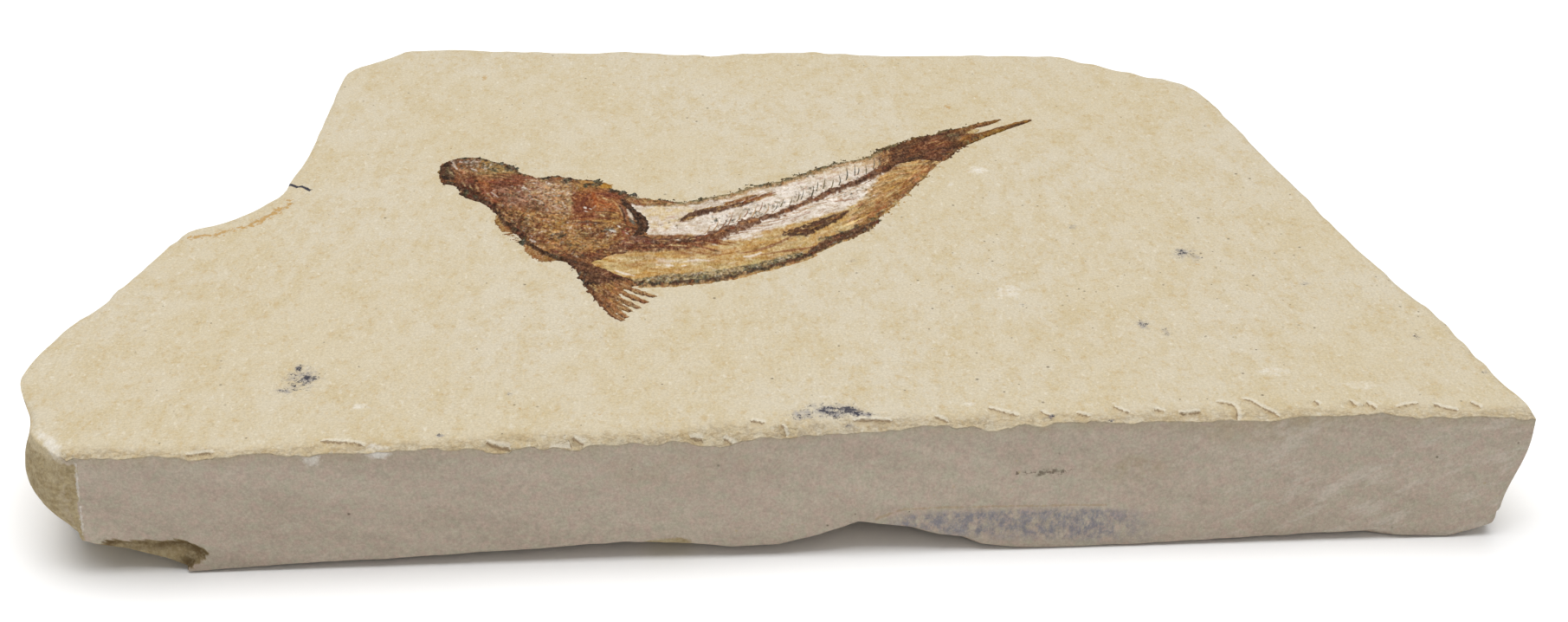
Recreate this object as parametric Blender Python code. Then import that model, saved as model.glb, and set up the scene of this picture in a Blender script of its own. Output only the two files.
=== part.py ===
"""Fossil fish slab: a broken piece of pale bedded limestone, sawn along its front, with one flattened fish
lying in the bedding plane of its upper face.

Two solids: limestone_slab, and fossil_fish bedded in a shallow hollow of its outline.
Plan measures are millimetres from the front left corner of the sawn face: x runs along that face and y runs
back over the slab. Depths and heights are measured from the upper face, which is the bedding plane.
"""

import math

import bmesh
import bpy
from mathutils import Vector

MM = 0.001

# ---- Driving sizes, in millimetres ------------------------------------------------------------------------
SLAB_LENGTH = 180.0  # along the sawn front face
SLAB_THICKNESS = 18.4
OUTLINE_STEP = 3.0  # spacing of the points round the slab
SLAB_MIDDLE = (85, 60)  # the whole edge can be seen from here, so drawing it in towards here never folds it
ARRIS = 0.5  # worn edge between the upper face and the sides
ARRIS_CHIP = 0.9  # how much further the deepest chips reach in

BED_DEPTH = 1.2  # hollow that holds the fish
BED_GAP = 0.3  # clearance between the fish and the stone, at the sides and below
FISH_FACE = 0.25  # how far the flattened body stands above the upper face
RIDGE_ROOT = 0.5  # how far the foot of a bone lies under the upper face, inside the body
TRIM = 0.05  # taken off all round once the bones are on

BACKBONE_HEIGHT = 0.8
FINE_BONE_HEIGHT = 0.5

# ---- The slab's edge in plan, anticlockwise from the front left corner ------------------------------------
SAWN_FRONT = [
    (0, 0), (10, -0.8), (20, -0.8), (35, -0.6), (55, 0), (75, 0.4), (90, 1.4), (102, 2.0), (115, 1.6),
    (140, 1.4), (157, 1.2), (170, 0.6), (SLAB_LENGTH, 0),
]
BROKEN_RIGHT = [
    (179.7, 4), (178.5, 9), (177, 17), (175.5, 26), (173.8, 31), (171.5, 40), (169, 51), (167, 63),
    (165, 73), (163, 84), (161.2, 94), (160, 99),
]
BROKEN_BACK = [
    (158, 102.5), (155, 104.8), (150, 107.8), (145, 111.5), (139, 115), (135, 116), (120, 116.8),
    (107, 117.4), (95, 119.6), (88, 119.5), (80, 118.8), (66, 121), (58, 120.7), (50, 121.5), (35, 123.2),
    (28.5, 123.3),
]
BROKEN_LEFT = [
    (26, 121.5), (22, 117.5), (19.5, 115.5), (18.3, 112), (17.6, 97), (17, 84), (16, 76), (14.5, 69.5),
    (12, 65.5), (9, 62), (6, 60), (3, 58.3), (2, 56), (0.5, 50), (-2.5, 42), (-4, 37), (-7, 31), (-9, 25),
    (-10, 19), (-9.2, 15), (-6.5, 9.5), (-5.2, 5.5), (-2.5, 2),
]

# Height of the lower edge above the resting plane where flakes have come off, along the sawn face.
FRONT_FOOT = [
    (0, 5.5), (5, 3.4), (9, 1.9), (12, 0.3), (20, 0.9), (32, 1.4), (43, 1.8), (53, 2.2), (67, 3.0), (75, 2.5),
    (80, 1.8), (86, 2.0), (91, 3.3), (96, 5.1), (99, 4.6), (103, 4.1), (107, 2.7), (110, 2.2), (112, 1.0),
    (116, 0.4), (125, 0.3), (136, 0.6), (147, 1.1), (158, 1.5), (163, 1.7), (166, 0.6), (172, 0.3),
    (176, 1.6), (180, 3.4),
]
FOOT_RUN = 2.2  # a flake reaches this many times its height in under the slab
BROKEN_FOOT = 1.2  # usual height of the flakes along the broken sides

# Bedding planes on which the broken sides step in and out, as depths below the upper face.
LEDGE_DEPTHS = (4.2, 8.6, 13.0)
LEDGE_REACH = 1.3
LEDGE_HALF_RISE = 0.25

# A thin lamina has come away along the notch in the left side.
LAMINA = [
    (1, 54.6), (3.5, 55.4), (8, 57), (11.5, 58.8), (13, 61.5), (15.5, 63.5), (17.6, 67.2), (19.2, 70.4),
    (12, 76), (0, 62),
]
LAMINA_DEPTH = 0.5

# ---- The fish in plan -------------------------------------------------------------------------------------
JAW_EDGE = [
    (37.6, 75.5), (37.9, 73), (39.3, 71), (41, 69.5), (42.5, 66.6), (44.5, 65), (46, 63.2), (47.3, 60.5),
    (47.4, 58.3), (48.4, 55.4), (50.5, 53.5), (51.5, 51), (52.4, 48.9), (54.2, 46.8), (56.6, 45.6),
]
PELVIC_FIN_EDGE = [
    (58.5, 44.4), (60, 41.2), (61.4, 37.8), (62.7, 34.4), (64.2, 31.5), (66.2, 29.3), (67.6, 30.8),
    (69.4, 33), (71, 35.6), (72.8, 37.6),
]
BELLY_EDGE = [
    (76, 38.2), (80, 38.9), (84, 40.8), (88, 42.9), (92, 45.4), (94.3, 47.6), (98.4, 50.6), (101.6, 54),
    (103.4, 57.4), (105.8, 60.6), (108.2, 64.5), (110.2, 68), (112, 71.5), (113.6, 74.4),
]
TAIL_EDGE = [
    (115.4, 76.2), (117.4, 78.6), (119.4, 81), (122, 83.2), (124.8, 85.3), (127.6, 87.4), (130.2, 89.4),
    (126.8, 88.2), (123.4, 86.6), (120, 85.6), (121.8, 87.3), (125.2, 90.3), (122, 89.2), (119, 87.6),
    (116.4, 86.4), (113.4, 85), (110.8, 83.8), (108.6, 82),
]
BACK_EDGE = [
    (106.2, 80.2), (102.5, 77.6), (100, 76.6), (97.5, 75.2), (95, 73.6), (92.5, 71.6), (90, 69.9),
    (86.5, 68), (83, 66.1), (80, 64.7), (76.5, 63.3), (73, 62.7), (69.5, 63.8), (67, 64.9),
]
CROWN_EDGE = [
    (65.6, 67), (64, 68.8), (61.8, 71), (58.4, 71), (56, 72.2), (53.4, 72.2), (51, 73.3), (49.4, 75),
    (47.8, 77.4), (44.6, 79), (41.6, 79.8), (39, 79.1),
]

GILL_COVER_RIM = [(66, 62.8), (67.4, 60.4), (68.7, 58.2), (69, 56), (68.4, 53.8), (67, 52)]
# Each crushed plate of the skull: name, middle, half lengths, turn in degrees, height.
SKULL_PLATES = [
    ("snout", (43.2, 74.4), (6.2, 3.6), -50, 1.0),
    ("face", (49.6, 67.6), (8.2, 4.3), -50, 1.15),
    ("cheek", (55.6, 64), (6, 6.2), -20, 1.05),
    ("crown", (59.2, 67.2), (5.4, 2.6), -28, 1.2),
    ("jaw", (53, 58.8), (7, 3.7), -62, 1.1),
    ("throat", (57.8, 51.6), (5.9, 4.2), -58, 0.95),
    ("shoulder", (62.6, 51.4), (4.6, 3), 12, 0.9),
    ("gill_cover", (62.8, 58.8), (5.5, 7.4), 12, 1.7),
]

BACKBONE = [
    (65, 50.3), (70, 50.5), (76.5, 51.3), (80, 53), (84, 55.4), (88, 58.3), (91, 60.8), (94, 63.1), (97.5, 66),
    (101, 68.8), (104, 71.5), (106.8, 75.2),
]
BACK_LINE = BACK_EDGE[::-1]
BELLY_LINE = BELLY_EDGE
VERTEBRA_PITCH = 1.5

BACK_BLADE = [(74.6, 57), (76.2, 58.9), (79, 60.7), (82.4, 62), (85.6, 63.8), (88.4, 65.4)]
BELLY_BLADE = [(90.6, 52.4), (93, 53.6), (96, 56), (98.6, 58.5)]
LOWER_STRAND = [(83.5, 47), (86.5, 48.6), (90.2, 51.6)]
ANAL_FIN_STRANDS = [
    [(98.5, 53.6), (102.6, 58.6), (106.4, 63.6)],
    [(101.4, 58.6), (105.6, 64), (109.4, 69.4)],
    [(105.4, 65.4), (109.2, 70.6), (112.2, 74.4)],
]
JAW_STRANDS = [
    [(39.6, 74.4), (44.4, 69.6), (50, 62.4), (54.6, 55.4)],
    [(41.8, 76.4), (47.2, 71.8), (52.4, 66.4), (57, 60)],
    [(46, 76.4), (51, 71.6), (55.6, 67), (58.6, 62.6)],
    [(50.8, 57.2), (53.6, 52), (57.8, 47.8)],
]
FIN_RAY_ROOT = (59.6, 44)
FIN_RAY_TIPS = [(63.6, 33.6), (65.4, 31.2), (66.4, 30.4), (68, 32.6), (69.4, 34.4), (71, 36.8)]
TAIL_RAYS = [
    [(108.6, 79.4), (114, 82.8), (118.6, 85.8), (123.6, 88.9)],
    [(108.8, 78.6), (114.4, 80.6), (119.6, 83.9), (127.6, 87.9)],
    [(109.6, 77.2), (114.6, 78.4), (119, 81.8), (124, 85.3)],
]


# ---- Curves in plan ---------------------------------------------------------------------------------------
def smooth_curve(points, closed=False, step=None, count=None):
    """Points at even distances along a Catmull-Rom curve through the given ones."""
    points = [Vector(p) for p in points]
    last = len(points)
    spans = last if closed else last - 1
    fine = []
    for i in range(spans):
        if closed:
            a, b, c, d = (points[(i + k) % last] for k in (-1, 0, 1, 2))
        else:
            a, b, c, d = (points[min(max(i + k, 0), last - 1)] for k in (-1, 0, 1, 2))
        for k in range(12):
            t = k / 12
            fine.append(
                0.5 * ((2 * b) + (c - a) * t + (2 * a - 5 * b + 4 * c - d) * t**2 + (3 * b - a - 3 * c + d) * t**3)
            )
    fine.append(fine[0].copy() if closed else points[-1])
    return resample(fine, closed, step, count)


def resample(line, closed, step, count):
    """Points at even distances along a polyline; a closed one doesn't repeat its first point."""
    lengths = [0.0]
    for a, b in zip(line, line[1:]):
        lengths.append(lengths[-1] + (b - a).length)
    count = count or max(2, round(lengths[-1] / step))
    result, span = [], 0
    for i in range(count if closed else count + 1):
        target = lengths[-1] * i / count
        while span < len(line) - 2 and lengths[span + 1] < target:
            span += 1
        share = (target - lengths[span]) / max(lengths[span + 1] - lengths[span], 1e-9)
        result.append(line[span].lerp(line[span + 1], share))
    return result


def outward(points, closed=True):
    """Unit normals to the right of the way round, which is outside an anticlockwise outline."""
    last = len(points)
    normals = []
    for i in range(last):
        before = points[i - 1] if closed or i else points[0]
        after = points[(i + 1) % last] if closed or i < last - 1 else points[-1]
        along = (after - before).normalized()
        normals.append(Vector((along.y, -along.x)))
    return normals


def widened(points, amount):
    return [p + n * amount for p, n in zip(points, outward(points))]


def read_profile(profile, x):
    """Height of a profile given as (x, height) pairs, straight between them."""
    for (x0, h0), (x1, h1) in zip(profile, profile[1:]):
        if x <= x1:
            return h0 + (h1 - h0) * max(0.0, x - x0) / (x1 - x0)
    return profile[-1][1]


def smooth_step(low, high, x):
    t = min(max((x - low) / (high - low), 0.0), 1.0)
    return t * t * (3 - 2 * t)


# ---- Meshes -----------------------------------------------------------------------------------------------
def mesh_object(name, vertices, faces, helper=False):
    """A mesh object from millimetre vertices, with its faces turned outwards. A helper isn't part of the model."""
    mesh = bpy.data.meshes.new(name)
    mesh.from_pydata([tuple(c * MM for c in v) for v in vertices], [], faces)
    grid = bmesh.new()
    grid.from_mesh(mesh)
    bmesh.ops.recalc_face_normals(grid, faces=grid.faces)
    grid.to_mesh(mesh)
    grid.free()
    obj = bpy.data.objects.new(name, mesh)
    bpy.context.scene.collection.objects.link(obj)
    if helper:
        obj.hide_render = True
        obj.display_type = "WIRE"
    return obj


def loft(name, rings, helper=False):
    """A closed solid through rings of equally many points, with a flat cap on the first and the last."""
    count = len(rings[0])
    vertices = [v for ring in rings for v in ring]
    faces = [tuple(range(count))[::-1], tuple(range((len(rings) - 1) * count, len(rings) * count))]
    for level in range(len(rings) - 1):
        low, high = level * count, (level + 1) * count
        for i in range(count):
            j = (i + 1) % count
            faces.append((low + i, low + j, high + j, high + i))
    return mesh_object(name, vertices, faces, helper)


def prism(name, outline, low, high, helper=False):
    """An upright solid of a plan outline."""
    return loft(name, [[(p[0], p[1], z) for p in outline] for z in (low, high)], helper)


def ridge(name, path, widths, heights, segments, bead=0.0):
    """A raised bone along a path: a low trapezoid section whose width and height follow the given values from
    end to end. bead swells and pinches it at every other point, as in a row of vertebrae."""
    line = smooth_curve(path, count=segments)
    sides = outward(line, closed=False)
    rings = []
    for i, (p, n) in enumerate(zip(line, sides)):
        share = i / segments
        swell = 1 + bead * (1 if i % 2 else -1)
        half = read_profile(widths, share) / 2 * swell
        top = SLAB_THICKNESS + FISH_FACE + read_profile(heights, share) * swell
        foot = SLAB_THICKNESS - RIDGE_ROOT
        a, b = p - n * half, p + n * half
        c, d = p + n * half * 0.45, p - n * half * 0.45
        rings.append([(a.x, a.y, foot), (b.x, b.y, foot), (c.x, c.y, top), (d.x, d.y, top)])
    return loft(name, rings, helper=True)


def taper(start, middle, end):
    return [(0, start), (0.4, middle), (1, end)]


def union(body, helpers):
    """Joins the helpers into the body with one Boolean."""
    group = bpy.data.collections.new(body.name + "_bones")
    for helper in helpers:
        group.objects.link(helper)
    modifier = body.modifiers.new("bones", "BOOLEAN")
    modifier.operation = "UNION"
    modifier.operand_type = "COLLECTION"
    modifier.collection = group
    modifier.use_self = True


def boolean(body, tool, operation):
    modifier = body.modifiers.new(tool.name, "BOOLEAN")
    modifier.operation = operation
    modifier.object = tool


def finish(obj, name, colour, roughness):
    material = bpy.data.materials.new(name)
    material.use_nodes = True
    shader = material.node_tree.nodes["Principled BSDF"]
    shader.inputs["Base Color"].default_value = (*colour, 1)
    shader.inputs["Roughness"].default_value = roughness
    shader.inputs["Metallic"].default_value = 0.0
    obj.data.materials.append(material)


# ---- The slab ---------------------------------------------------------------------------------------------
def brokenness(p):
    """0 on the sawn front face, rising to 1 round the broken sides."""
    return smooth_step(1.5, 7.0, p.y)


def ledge_offset(along, depth, p):
    """How far a broken side stands out at this depth: each bedding plane shifts it in or out, by an amount that
    wanders along the edge. The front left corner bulges, and then tucks under."""
    offset = 0.0
    for k, plane in enumerate(LEDGE_DEPTHS):
        wander = math.sin(along / (11.0 + 4.5 * k) + 2.1 * k) + 0.6 * math.sin(along / (5.3 + 1.7 * k) + k)
        shift = smooth_step(plane - LEDGE_HALF_RISE, plane + LEDGE_HALF_RISE, depth)
        offset += LEDGE_REACH * 0.6 * wander * shift * brokenness(p)
    corner = smooth_step(16, 4, p.y) * smooth_step(4, -4, p.x)
    offset += corner * (1.4 * math.sin(math.pi * min(depth, 9.5) / 9.5) - 3.0 * smooth_step(8, 18, depth))
    right = smooth_step(SLAB_LENGTH - 3, SLAB_LENGTH, p.x)
    return offset - 2.0 * right * smooth_step(3, 15, depth)


def foot_height(along, p):
    """Height of the lower edge: read from the front profile on the sawn face, wandering on the broken sides."""
    wander = BROKEN_FOOT * (1 + 0.8 * math.sin(along / 7.0) * math.sin(along / 19.0 + 1.0))
    rough = brokenness(p)
    return read_profile(FRONT_FOOT, p.x) * (1 - rough) + max(wander, 0.3) * rough


def slab_rings():
    """Rings round the slab from the resting plane up to the upper face."""
    outline = smooth_curve(SAWN_FRONT + BROKEN_RIGHT + BROKEN_BACK + BROKEN_LEFT, closed=True, step=OUTLINE_STEP)
    depths = [0.0, ARRIS]
    for plane in LEDGE_DEPTHS:
        depths += [plane - LEDGE_HALF_RISE, plane + LEDGE_HALF_RISE]
    wall = [[] for _ in depths]
    lower_edge, resting = [], []
    for i, p in enumerate(outline):
        away = (p - Vector(SLAB_MIDDLE)).normalized()
        along = i * OUTLINE_STEP
        foot = foot_height(along, p)
        chip = ARRIS_CHIP * max(0.0, math.sin(along / 4.1) * math.sin(along / 9.7 + 1))
        for ring, depth in zip(wall, depths):
            out = ledge_offset(along, depth, p) - (ARRIS + chip if depth == 0 else 0)
            depth += chip if depth == ARRIS else 0
            depth = min(depth, SLAB_THICKNESS - foot - 0.5)
            ring.append((*(p + away * out), SLAB_THICKNESS - depth))
        out = ledge_offset(along, SLAB_THICKNESS - foot, p)
        lower_edge.append((*(p + away * out), foot))
        resting.append((*(p + away * (out - 0.4 - FOOT_RUN * foot)), 0.0))
    return [resting, lower_edge] + wall[::-1]


def limestone_slab(fish_edge):
    slab = loft("limestone_slab", slab_rings())
    finish(slab, "limestone", (0.69, 0.58, 0.42), 0.9)
    lamina = prism(
        "lamina_cutter", smooth_curve(LAMINA, closed=True, step=2.0),
        SLAB_THICKNESS - LAMINA_DEPTH, SLAB_THICKNESS + 2, helper=True,
    )
    bed = prism(
        "fish_bed_cutter", widened(fish_edge, BED_GAP), SLAB_THICKNESS - BED_DEPTH, SLAB_THICKNESS + 2, helper=True
    )
    boolean(slab, lamina, "DIFFERENCE")
    boolean(slab, bed, "DIFFERENCE")
    return slab


# ---- The fish ---------------------------------------------------------------------------------------------
def skull_plate(name, middle, radii, turn, height, sides=18):
    """A low dome with an uneven rim, standing on the body."""
    turn = math.radians(turn)
    rings = []
    for share, rise in ((1.0, -RIDGE_ROOT), (1.0, 0.42), (0.84, 0.74), (0.55, 0.93), (0.2, 1.0)):
        ring = []
        for k in range(sides):
            angle = 2 * math.pi * k / sides
            uneven = 1 + 0.07 * math.sin(3 * angle + middle[0]) + 0.05 * math.sin(5 * angle + middle[1])
            x = radii[0] * share * uneven * math.cos(angle)
            y = radii[1] * share * uneven * math.sin(angle)
            rise_here = rise if rise < 0 else FISH_FACE + (height - FISH_FACE) * rise
            ring.append((
                middle[0] + x * math.cos(turn) - y * math.sin(turn),
                middle[1] + x * math.sin(turn) + y * math.cos(turn),
                SLAB_THICKNESS + rise_here,
            ))
        rings.append(ring)
    return loft(name, rings, helper=True)


def spines(line, side_line, first, last, count, lean, reach, name):
    """Fine bones that stand from the backbone towards an edge of the body, leaning back towards the tail."""
    along = smooth_curve(line, count=60)
    edge = smooth_curve(side_line, count=60)
    made = []
    for k in range(count):
        share = first + (last - first) * k / (count - 1)
        root = along[round(60 * share)]
        tip = root.lerp(edge[min(60, round(60 * (share + lean)))], reach)
        start = root.lerp(tip, 0.14)
        made.append(
            ridge(f"{name}_{k + 1:02d}", [start, root.lerp(tip, 0.6) + Vector((0.15, 0)), tip],
                  taper(0.5, 0.4, 0.3), taper(FINE_BONE_HEIGHT, 0.35, 0.15), 3)
        )
    return made


def scutes(line, first, last, count, width, name):
    """Small keeled plates set edge to edge along the back or the belly."""
    along = smooth_curve(line, count=count * 3)
    inward = [-n for n in outward(along, closed=False)]
    made = []
    for k in range(first, last):
        a, b = along[3 * k], along[3 * k + 2]
        shift = inward[3 * k + 1] * (width / 2 + 0.25)
        made.append(
            ridge(f"{name}_{k + 1:02d}", [a + shift, b + shift], taper(width, width * 0.8, width * 0.35),
                  taper(0.45, 0.4, 0.1), 2)
        )
    return made


def fish_bones():
    bones = [skull_plate(*plate) for plate in SKULL_PLATES]
    bones.append(ridge("gill_cover_rim", GILL_COVER_RIM, taper(0.5, 1.0, 0.5), taper(0.7, 0.8, 0.6), 7))
    for k, strand in enumerate(JAW_STRANDS):
        bones.append(ridge(f"jaw_strand_{k + 1}", strand, taper(0.7, 1.1, 0.5), taper(0.9, 1.7, 1.5), 8))

    vertebrae = round(sum((Vector(b) - Vector(a)).length for a, b in zip(BACKBONE, BACKBONE[1:])) / VERTEBRA_PITCH)
    bones.append(
        ridge("backbone", BACKBONE, taper(2.2, 1.9, 1.0), taper(BACKBONE_HEIGHT, 0.7, 0.5), 2 * vertebrae, bead=0.18)
    )
    bones += spines(BACKBONE, BACK_LINE, 0.28, 0.94, 15, 0.06, 0.8, "neural_spine")
    bones += spines(BACKBONE, BELLY_LINE, 0.1, 0.62, 9, 0.16, 0.62, "rib")
    bones.append(ridge("back_blade", BACK_BLADE, taper(0.3, 1.3, 0.4), taper(0.2, 0.6, 0.2), 8))
    bones.append(ridge("belly_blade", BELLY_BLADE, taper(1.5, 1.4, 0.6), taper(0.7, 0.6, 0.3), 5))
    bones.append(ridge("lower_strand", LOWER_STRAND, taper(0.2, 0.6, 0.5), taper(0.2, 0.4, 0.4), 4))
    for k, strand in enumerate(ANAL_FIN_STRANDS):
        bones.append(ridge(f"anal_fin_strand_{k + 1}", strand, taper(0.4, 1.0, 0.4), taper(0.2, 0.45, 0.2), 5))

    bones += scutes(BELLY_LINE, 0, 17, 26, 0.9, "belly_scute")
    bones += scutes(BACK_LINE[::-1], 2, 24, 26, 0.7, "back_scute")
    for k, tip in enumerate(FIN_RAY_TIPS):
        bend = Vector(FIN_RAY_ROOT).lerp(Vector(tip), 0.5) + Vector((-0.5 + 0.2 * k, 0))
        bones.append(
            ridge(f"fin_ray_{k + 1}", [FIN_RAY_ROOT, bend, tip], taper(0.9, 0.8, 0.35), taper(0.5, 0.5, 0.15), 5)
        )
    for k, ray in enumerate(TAIL_RAYS):
        bones.append(ridge(f"tail_ray_{k + 1}", ray, taper(1.6, 1.3, 0.35), taper(0.7, 0.6, 0.15), 8))
    return bones


def fish_outline():
    edge = JAW_EDGE + PELVIC_FIN_EDGE + BELLY_EDGE + TAIL_EDGE + BACK_EDGE + CROWN_EDGE
    return smooth_curve(edge, closed=True, count=150)


def fossil_fish(edge):
    """The flattened body with its bones, trimmed all round to the edge so that no bone reaches over the stone."""
    floor = SLAB_THICKNESS - BED_DEPTH + BED_GAP
    fish = prism("fossil_fish", widened(edge, TRIM), floor, SLAB_THICKNESS + FISH_FACE)
    finish(fish, "fossil_bone", (0.25, 0.12, 0.055), 0.6)
    union(fish, fish_bones())
    trimmer = prism("fish_edge_trimmer", edge, floor - 1, SLAB_THICKNESS + 5, helper=True)
    boolean(fish, trimmer, "INTERSECT")
    return fish


# ---- The whole part ---------------------------------------------------------------------------------------
def centre_on_origin(objects, ring_points):
    """Puts the middle of the slab's plan at the origin, with the resting plane at height 0."""
    xs = [p[0] for p in ring_points]
    ys = [p[1] for p in ring_points]
    shift = Vector((-(min(xs) + max(xs)) / 2 * MM, -(min(ys) + max(ys)) / 2 * MM, 0))
    for obj in objects:
        obj.location = shift


def main():
    for obj in list(bpy.data.objects):
        bpy.data.objects.remove(obj)
    edge = fish_outline()
    limestone_slab(edge)
    fossil_fish(edge)
    centre_on_origin(bpy.data.objects, [p for ring in slab_rings() for p in ring])


main()
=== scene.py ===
"""Looks of the fossil fish slab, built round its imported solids.

Plan measures are millimetres: x runs along the sawn front face from its left corner, y runs back over the slab,
and z is the height above the resting plane. placed() carries them into the object's frame.
"""

import math

import bpy
import numpy as np
from bpy.props import FloatProperty, FloatVectorProperty, PointerProperty
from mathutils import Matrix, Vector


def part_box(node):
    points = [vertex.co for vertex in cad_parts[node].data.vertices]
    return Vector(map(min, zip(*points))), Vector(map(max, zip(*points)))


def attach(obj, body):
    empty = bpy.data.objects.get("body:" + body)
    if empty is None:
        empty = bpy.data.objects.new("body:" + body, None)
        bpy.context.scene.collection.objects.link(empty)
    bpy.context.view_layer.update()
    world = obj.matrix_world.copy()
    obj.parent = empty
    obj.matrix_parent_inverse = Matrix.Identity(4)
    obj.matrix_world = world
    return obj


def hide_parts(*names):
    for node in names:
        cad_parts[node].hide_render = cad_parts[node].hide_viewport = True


bl_info = {
    "name": "Fossil Fish Slab",
    "version": (1, 0, 0),
    "blender": (4, 5, 0),
    "location": "3D View > Sidebar > Fossil Slab",
    "description": "Builds a broken limestone slab with a fossil fish on it, and its stage",
    "category": "Add Mesh",
}

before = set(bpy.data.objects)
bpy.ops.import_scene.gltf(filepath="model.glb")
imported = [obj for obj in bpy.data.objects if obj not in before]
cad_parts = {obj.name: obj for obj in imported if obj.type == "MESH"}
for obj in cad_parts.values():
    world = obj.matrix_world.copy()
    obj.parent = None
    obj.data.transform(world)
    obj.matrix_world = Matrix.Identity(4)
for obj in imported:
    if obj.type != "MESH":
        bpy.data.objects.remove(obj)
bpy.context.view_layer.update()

MM = 0.001
PLAN_MIDDLE = (85.09, 61.34)
SLAB_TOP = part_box("limestone_slab")[1].z / MM


def xy(*tenths):
    """Plan points from x and y in turn, in tenths of a millimetre."""
    return np.reshape(tenths, (-1, 2)) / 10


# ---- The slab in plan -------------------------------------------------------------------------------------
SLAB_LENGTH = 180.0
SLAB_MIDDLE = (85.0, 60.0)  # the whole edge can be seen from here
SAWN_FRONT = [
    (0, 0), (10, -0.8), (20, -0.8), (35, -0.6), (55, 0), (75, 0.4), (90, 1.4), (102, 2.0), (115, 1.6),
    (140, 1.4), (157, 1.2), (170, 0.6), (SLAB_LENGTH, 0),
]
BROKEN_RIGHT = [
    (SLAB_LENGTH, 0), (179.7, 4), (178.5, 9), (177, 17), (175.5, 26), (173.8, 31), (171.5, 40), (169, 51),
    (167, 63), (165, 73), (163, 84), (161.2, 94), (160, 99),
]
BROKEN_BACK = xy(
    285, 1233, 350, 1232, 500, 1215, 580, 1207, 660, 1210, 800, 1188, 880, 1195, 950, 1196, 1070, 1174, 1200, 1168,
    1350, 1160, 1390, 1150, 1450, 1115, 1500, 1078, 1550, 1048, 1580, 1025, 1600, 990,
)
BROKEN_LEFT = xy(
    0, 0, -25, 20, -52, 55, -65, 95, -92, 150, -100, 190, -90, 250, -70, 310, -40, 370, -25, 420, 5, 500, 20, 560,
    30, 583, 60, 600, 90, 620, 120, 655, 145, 695, 160, 760, 170, 840, 176, 970, 183, 1120, 195, 1155, 220, 1175,
    260, 1215, 285, 1233,
)
FRONT_FOOT = xy(
    0, 55, 50, 34, 90, 19, 120, 3, 200, 9, 320, 14, 430, 18, 530, 22, 670, 30, 750, 25, 800, 18, 860, 20, 910, 33,
    960, 51, 990, 46, 1030, 41, 1070, 27, 1100, 22, 1120, 10, 1160, 4, 1250, 3, 1360, 6, 1470, 11, 1580, 15, 1630, 17,
    1660, 6, 1720, 3, 1760, 16, 1800, 34,
)
FOOT_RUN = 2.2
BROKEN_FOOT = 1.2
LAMINA = xy(-40, 520, 35, 554, 80, 570, 115, 588, 130, 615, 155, 635, 174, 672, 192, 702, 152, 726, 0, 760)
LAMINA_DEPTH = 0.4
FAR_OFF = 60.0  # added to the distance from a line where no mark of it may show
BED_DEPTH = 0.8  # how deep the pieces of the fish reach into the stone
LIFTED = 1.94  # how much further back a point seems to lie for each millimetre it stands above the stone


# ---- Arrays and curves ------------------------------------------------------------------------------------
def smooth(low, high, value):
    """0 below low and 1 above high, with an even S between them. low may be the larger, to fall instead."""
    t = np.clip((value - low) / (high - low), 0, 1)
    return t * t * (3 - 2 * t)


def lattice(i, j, seed):
    """A repeatable number from 0 to 1 for each pair of whole numbers, by mixing their bits."""
    n = (i * 374761393 + j * 668265263 + seed * 974634777) & 0xFFFFFFFF
    n = ((n ^ (n >> 13)) * 1274126177) & 0xFFFFFFFF
    return ((n ^ (n >> 16)) & 0xFFFFFF) / 0xFFFFFF


def ripple(x, y, size, seed=0):
    """Smooth noise from -1 to 1: lattice numbers a size apart, blended between with an S curve."""
    u, v = np.asarray(x) / size, np.asarray(y) / size
    i, j = np.floor(u).astype(np.int64), np.floor(v).astype(np.int64)
    s, t = u - i, v - j
    s, t = s * s * (3 - 2 * s), t * t * (3 - 2 * t)
    near_row = lattice(i, j, seed) * (1 - s) + lattice(i + 1, j, seed) * s
    far_row = lattice(i, j + 1, seed) * (1 - s) + lattice(i + 1, j + 1, seed) * s
    return 2 * (near_row * (1 - t) + far_row * t) - 1


def cloud(x, y, size, seed=0, octaves=4):
    """Sum of ripples, each half the size and half the height of the one before."""
    total = sum(ripple(x, y, size / 2**k, seed + 31 * k) / 2**k for k in range(octaves))
    return total / (2 - 2 ** (1 - octaves))


def spline(points, count=None, shares=None, closed=False):
    """Catmull-Rom curve through the points, read at even distances or at the given shares of its length."""
    p = np.asarray(points, float)
    padded = np.vstack([p[-1], p, p[0], p[1]]) if closed else np.vstack([p[0], p, p[-1]])
    a, b, c, d = padded[:-3], padded[1:-2], padded[2:-1], padded[3:]
    t = (np.arange(16) / 16)[:, None, None]
    fine = 0.5 * (2 * b + (c - a) * t + (2 * a - 5 * b + 4 * c - d) * t**2 + (3 * b - a - 3 * c + d) * t**3)
    fine = np.vstack([fine.transpose(1, 0, 2).reshape(-1, p.shape[1]), p[:1] if closed else p[-1:]])
    length = np.concatenate([[0], np.cumsum(np.linalg.norm(np.diff(fine, axis=0), axis=1))])
    if shares is None:
        shares = np.linspace(0, 1, count, endpoint=not closed)
    at = np.asarray(shares) * length[-1]
    return np.stack([np.interp(at, length, fine[:, k]) for k in range(p.shape[1])], 1)


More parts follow.
